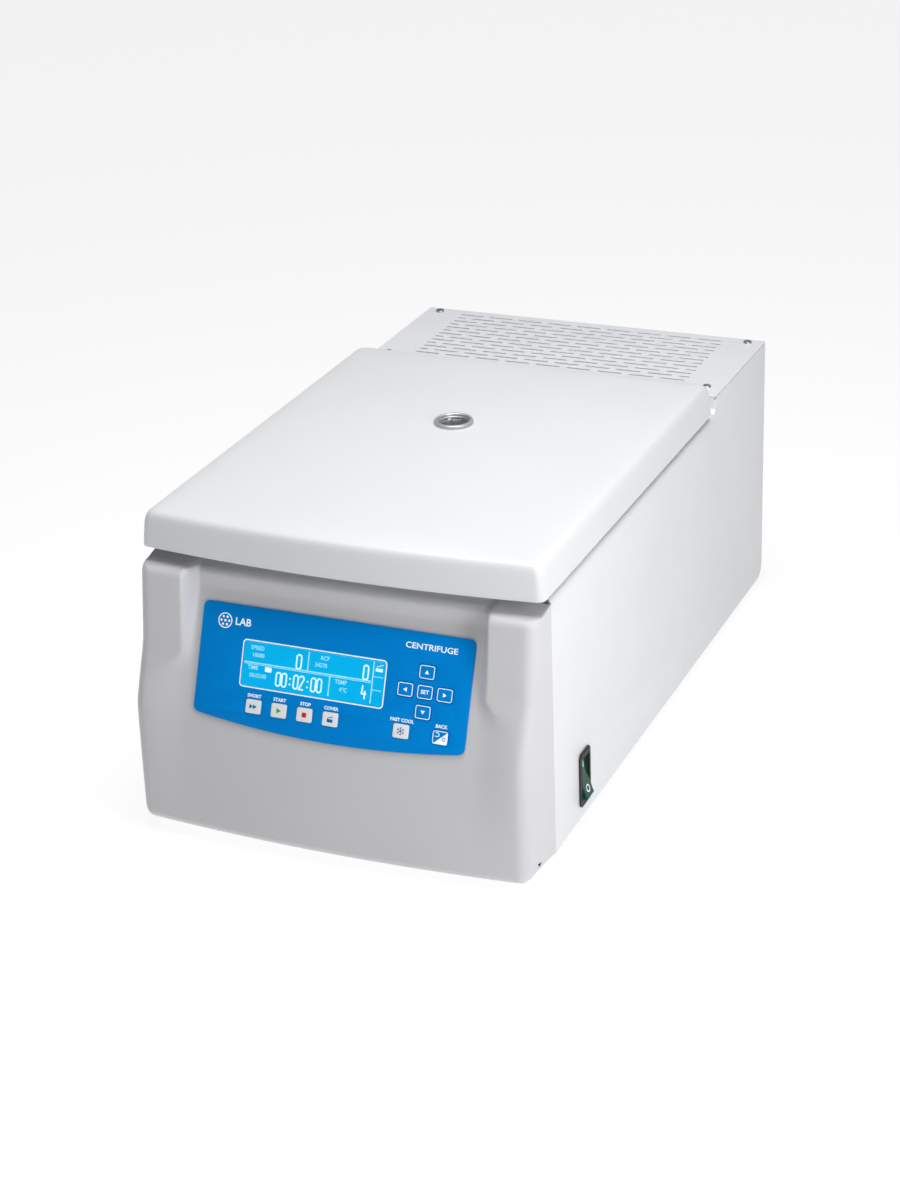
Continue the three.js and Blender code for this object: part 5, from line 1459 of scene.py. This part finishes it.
def build_cooling():
    shell = [(0, 9), (40, 9), (52, 14), (56, 26), (56, 58), (57.5, 60), (57.5, 64), (56, 66), (56, 98),
             (50, 116), (36, 127), (12, 130.5), (0, 131)]
    piece("compressor_can", lathe(shell, -92, 470, 96, 3), "base", "enamel", ["compressor"], angle=50)
    turns, r, pitch = 4, 120, 25
    coil = [(r * math.cos(2 * math.pi * t), CHAMBER_Y + r * math.sin(2 * math.pi * t), 112 + pitch * t)
            for t in span(0, turns, turns * 64)]
    piece("evaporator_tube", tube(coil, 3.4), "base", "copper", ["evaporator_coil"])
    line = [(-92, 470, 131.5), (-92, 470, 146), (-92, 462, 168), (-92, 440, 192), (-86, 415, 203),
            (-70, 390, 206), (-50, 378, 204), (-30, 372, 200), (-5, 369, 192), (20, 368, 180)]
    piece("suction_line", tube(smooth_path(line), 3.0), "base", "copper", ["refrigerant_line"])
    x0, x1 = FAN_X - 72, FAN_X + 72
    fins = [box((x, 512.2, 25), (x + 0.5, 547.8, 191)) for x in span(x0 + 2, x1 - 2.5, 56)]
    ends = [box((x0, 512, 20), (x1, 548, 25)), box((x0, 512, 191), (x1, 548, 196))]
    piece("condenser_fins", joined([*fins, *ends]), "base", "fins", ["condenser"])


def smooth_path(points, steps=6):
    """A Catmull-Rom curve through the points."""
    path = [Vector(p) for p in points]
    out = []
    for i in range(len(path) - 1):
        a, b = path[max(i - 1, 0)], path[i]
        c, d = path[i + 1], path[min(i + 2, len(path) - 1)]
        for k in range(steps):
            t = k / steps
            out.append(0.5 * (2 * b + (c - a) * t + (2 * a - 5 * b + 4 * c - d) * t * t
                              + (3 * b - a - 3 * c + d) * t ** 3))
    return [tuple(p) for p in [*out, path[-1]]]


def build_fan():
    half = 75
    duct = circle(FAN_X, FAN_Z, FAN_R + 3, 96)
    ring = plate(padded(FAN_X, FAN_Z, half, half, 8), "y", FAN_Y0, FAN_Y1, [duct], edge=0.6, steps=3)
    struts = []
    for degrees in (0, 60, 120):
        a = math.radians(degrees)
        dx, dz = (FAN_R + 5) * math.cos(a), (FAN_R + 5) * math.sin(a)
        y = FAN_Y0 + 1.5
        struts.append(rod((FAN_X - dx, y, FAN_Z - dz), (FAN_X + dx, y, FAN_Z + dz), 1.5, 16))
    hub = rod((FAN_X, FAN_Y0, FAN_Z), (FAN_X, FAN_Y0 + 5, FAN_Z), 22, 64)
    piece("fan_housing", joined([ring, *struts, hub]), "base", "black", ["fan_frame"], bevel=0.3)
    parts = [rod((FAN_X, FAN_Y0 + 5.3, FAN_Z), (FAN_X, FAN_Y1 - 2, FAN_Z), 24, 64)]
    middle = (FAN_Y0 + FAN_Y1) / 2 + 1.5
    blades, root, tip = 5, 22, 65
    for i in range(blades):
        verts, rows, columns = [], 8, 9
        for r in span(root, tip, rows - 1):
            out = (r - root) / (tip - root)
            reach = lerp(0.30, 0.24, out)
            for s in span(-1, 1, columns - 1):
                a = 2 * math.pi * i / blades + s * reach + 0.10 * out
                pitch = -lerp(7.2, 6.0, out) * s + 1.2 * (1 - s * s)
                verts.append((FAN_X + r * math.cos(a), middle + pitch, FAN_Z + r * math.sin(a)))
        blade = mesh_of(verts, grid_faces(rows, columns), close=False)
        parts.append(thickened(blade, 1.6))
    piece("fan_rotor", joined(parts), "fan", "black", ["fan_impeller"], bevel=0.2, angle=40)


def build_boards():
    """The two circuit boards keep their CAD shape and get a board's finish."""
    for name in ("display_board", "drive_board"):
        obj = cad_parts[name]
        obj.data.materials.clear()
        obj.data.materials.append(MATS["board"])
        edges = obj.modifiers.new("edges", "BEVEL")
        edges.width = 0.4 * MM
        edges.segments = 2


# ---------- stage, light and camera ----------

FLOOR_GLOW = 0.85
FLOOR_SIZE = 60.0


def build_stage():
    """A plain floor that glows a little, so that it stays white under soft light."""
    r, z = FLOOR_SIZE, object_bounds()[0].z
    floor = bpy.data.meshes.new("studio_floor")
    floor.from_pydata([(-r, -r, z), (r, -r, z), (r, r, z), (-r, r, z)], [], [(0, 1, 2, 3)])
    mat, _, shader = material("pale_floor")
    shader.inputs["Base Color"].default_value = (0.2, 0.2, 0.2, 1)
    shader.inputs["Emission Color"].default_value = (1, 1, 1, 1)
    shader.inputs["Emission Strength"].default_value = FLOOR_GLOW
    shader.inputs["Roughness"].default_value = 0.95
    floor.materials.append(mat)
    linked("studio_floor", floor)


def area_light(name, place, aim, size, power):
    data = bpy.data.lights.new(name, "AREA")
    data.shape = "RECTANGLE"
    data.size, data.size_y = size
    data.energy = power
    obj = linked(name, data)
    obj.location = place
    obj.rotation_mode = "QUATERNION"
    obj.rotation_quaternion = (Vector(aim) - Vector(place)).to_track_quat("-Z", "Y")


WORLD_AMBIENT = 0.02
WORLD_BACK = 0.24
OVERHEAD_POWER = 17
FRONT_POWER = 1.2
KEY_POWER = 4.0


def build_light():
    """A dim room, a little brighter behind, with a large soft light overhead and a small one at the right."""
    world = bpy.data.worlds.new("studio")
    world.use_nodes = True
    tree = world.node_tree
    background = tree.nodes["Background"]
    direction = node(tree, "ShaderNodeTexCoord").outputs["Generated"]
    facing = node(tree, "ShaderNodeVectorMath", operation="DOT_PRODUCT")
    facing.inputs[1].default_value = Vector((0.1, 0.8, 0.6)).normalized()
    tree.links.new(direction, facing.inputs[0])
    level = remap(tree, facing.outputs["Value"], WORLD_AMBIENT, WORLD_AMBIENT + WORLD_BACK, 0.0, 0.8)
    tree.links.new(level, background.inputs["Strength"])
    background.inputs["Color"].default_value = (0.985, 0.99, 1.0, 1)
    bpy.context.scene.world = world
    area_light("overhead", (0.1, -0.15, 1.5), (0.05, -0.05, 0.25), (0.9, 0.9), OVERHEAD_POWER)
    area_light("front_top", (0.15, -1.0, 1.25), (0.0, -0.25, 0.2), (0.6, 0.5), FRONT_POWER)
    area_light("near_key", (0.85, -0.58, 0.45), (0.18, -0.2, 0.12), (0.35, 0.5), KEY_POWER)


CAMERA = {"azimuth": 23.74, "elevation": 24.89, "roll": -2.18, "distance": 2.486,
          "right": -0.0349, "up": -0.0484, "lens": 78.36}
CAMERA_AIM = (0, 302.8, 126.15)


def build_camera():
    a, e, r = (math.radians(CAMERA[k]) for k in ("azimuth", "elevation", "roll"))
    back = Vector((math.sin(a) * math.cos(e), -math.cos(a) * math.cos(e), math.sin(e)))
    level_right = (-back).cross(Vector((0, 0, 1))).normalized()
    level_up = level_right.cross(-back)
    right = level_right * math.cos(r) + level_up * math.sin(r)
    up = level_up * math.cos(r) - level_right * math.sin(r)
    data = bpy.data.cameras.new("camera")
    data.sensor_width = 36
    data.lens = CAMERA["lens"]
    data.clip_start = 0.05
    data.clip_end = 200
    obj = linked("camera", data)
    turn = Matrix((right, up, back)).transposed().to_4x4()
    place = at(*CAMERA_AIM) + back * CAMERA["distance"] + right * CAMERA["right"] + up * CAMERA["up"]
    obj.matrix_world = Matrix.Translation(place) @ turn
    bpy.context.scene.camera = obj
    bpy.context.scene.view_settings.view_transform = "Standard"


build_camera()
build_bezel()
build_label()
build_label_print()
build_display()
build_keys()
build_switch()
build_lid_shell()
build_port()
build_liner()
build_striker()
build_side(-1)
build_side(1)
build_top()
build_deck()
build_rear()
rear_screws()
build_inlet()
build_base()
build_chamber()
build_rotor()
build_rotor_cover()
build_hinges()
build_latch()
build_motor()
build_cooling()
build_fan()
build_boards()
build_stage()
build_light()
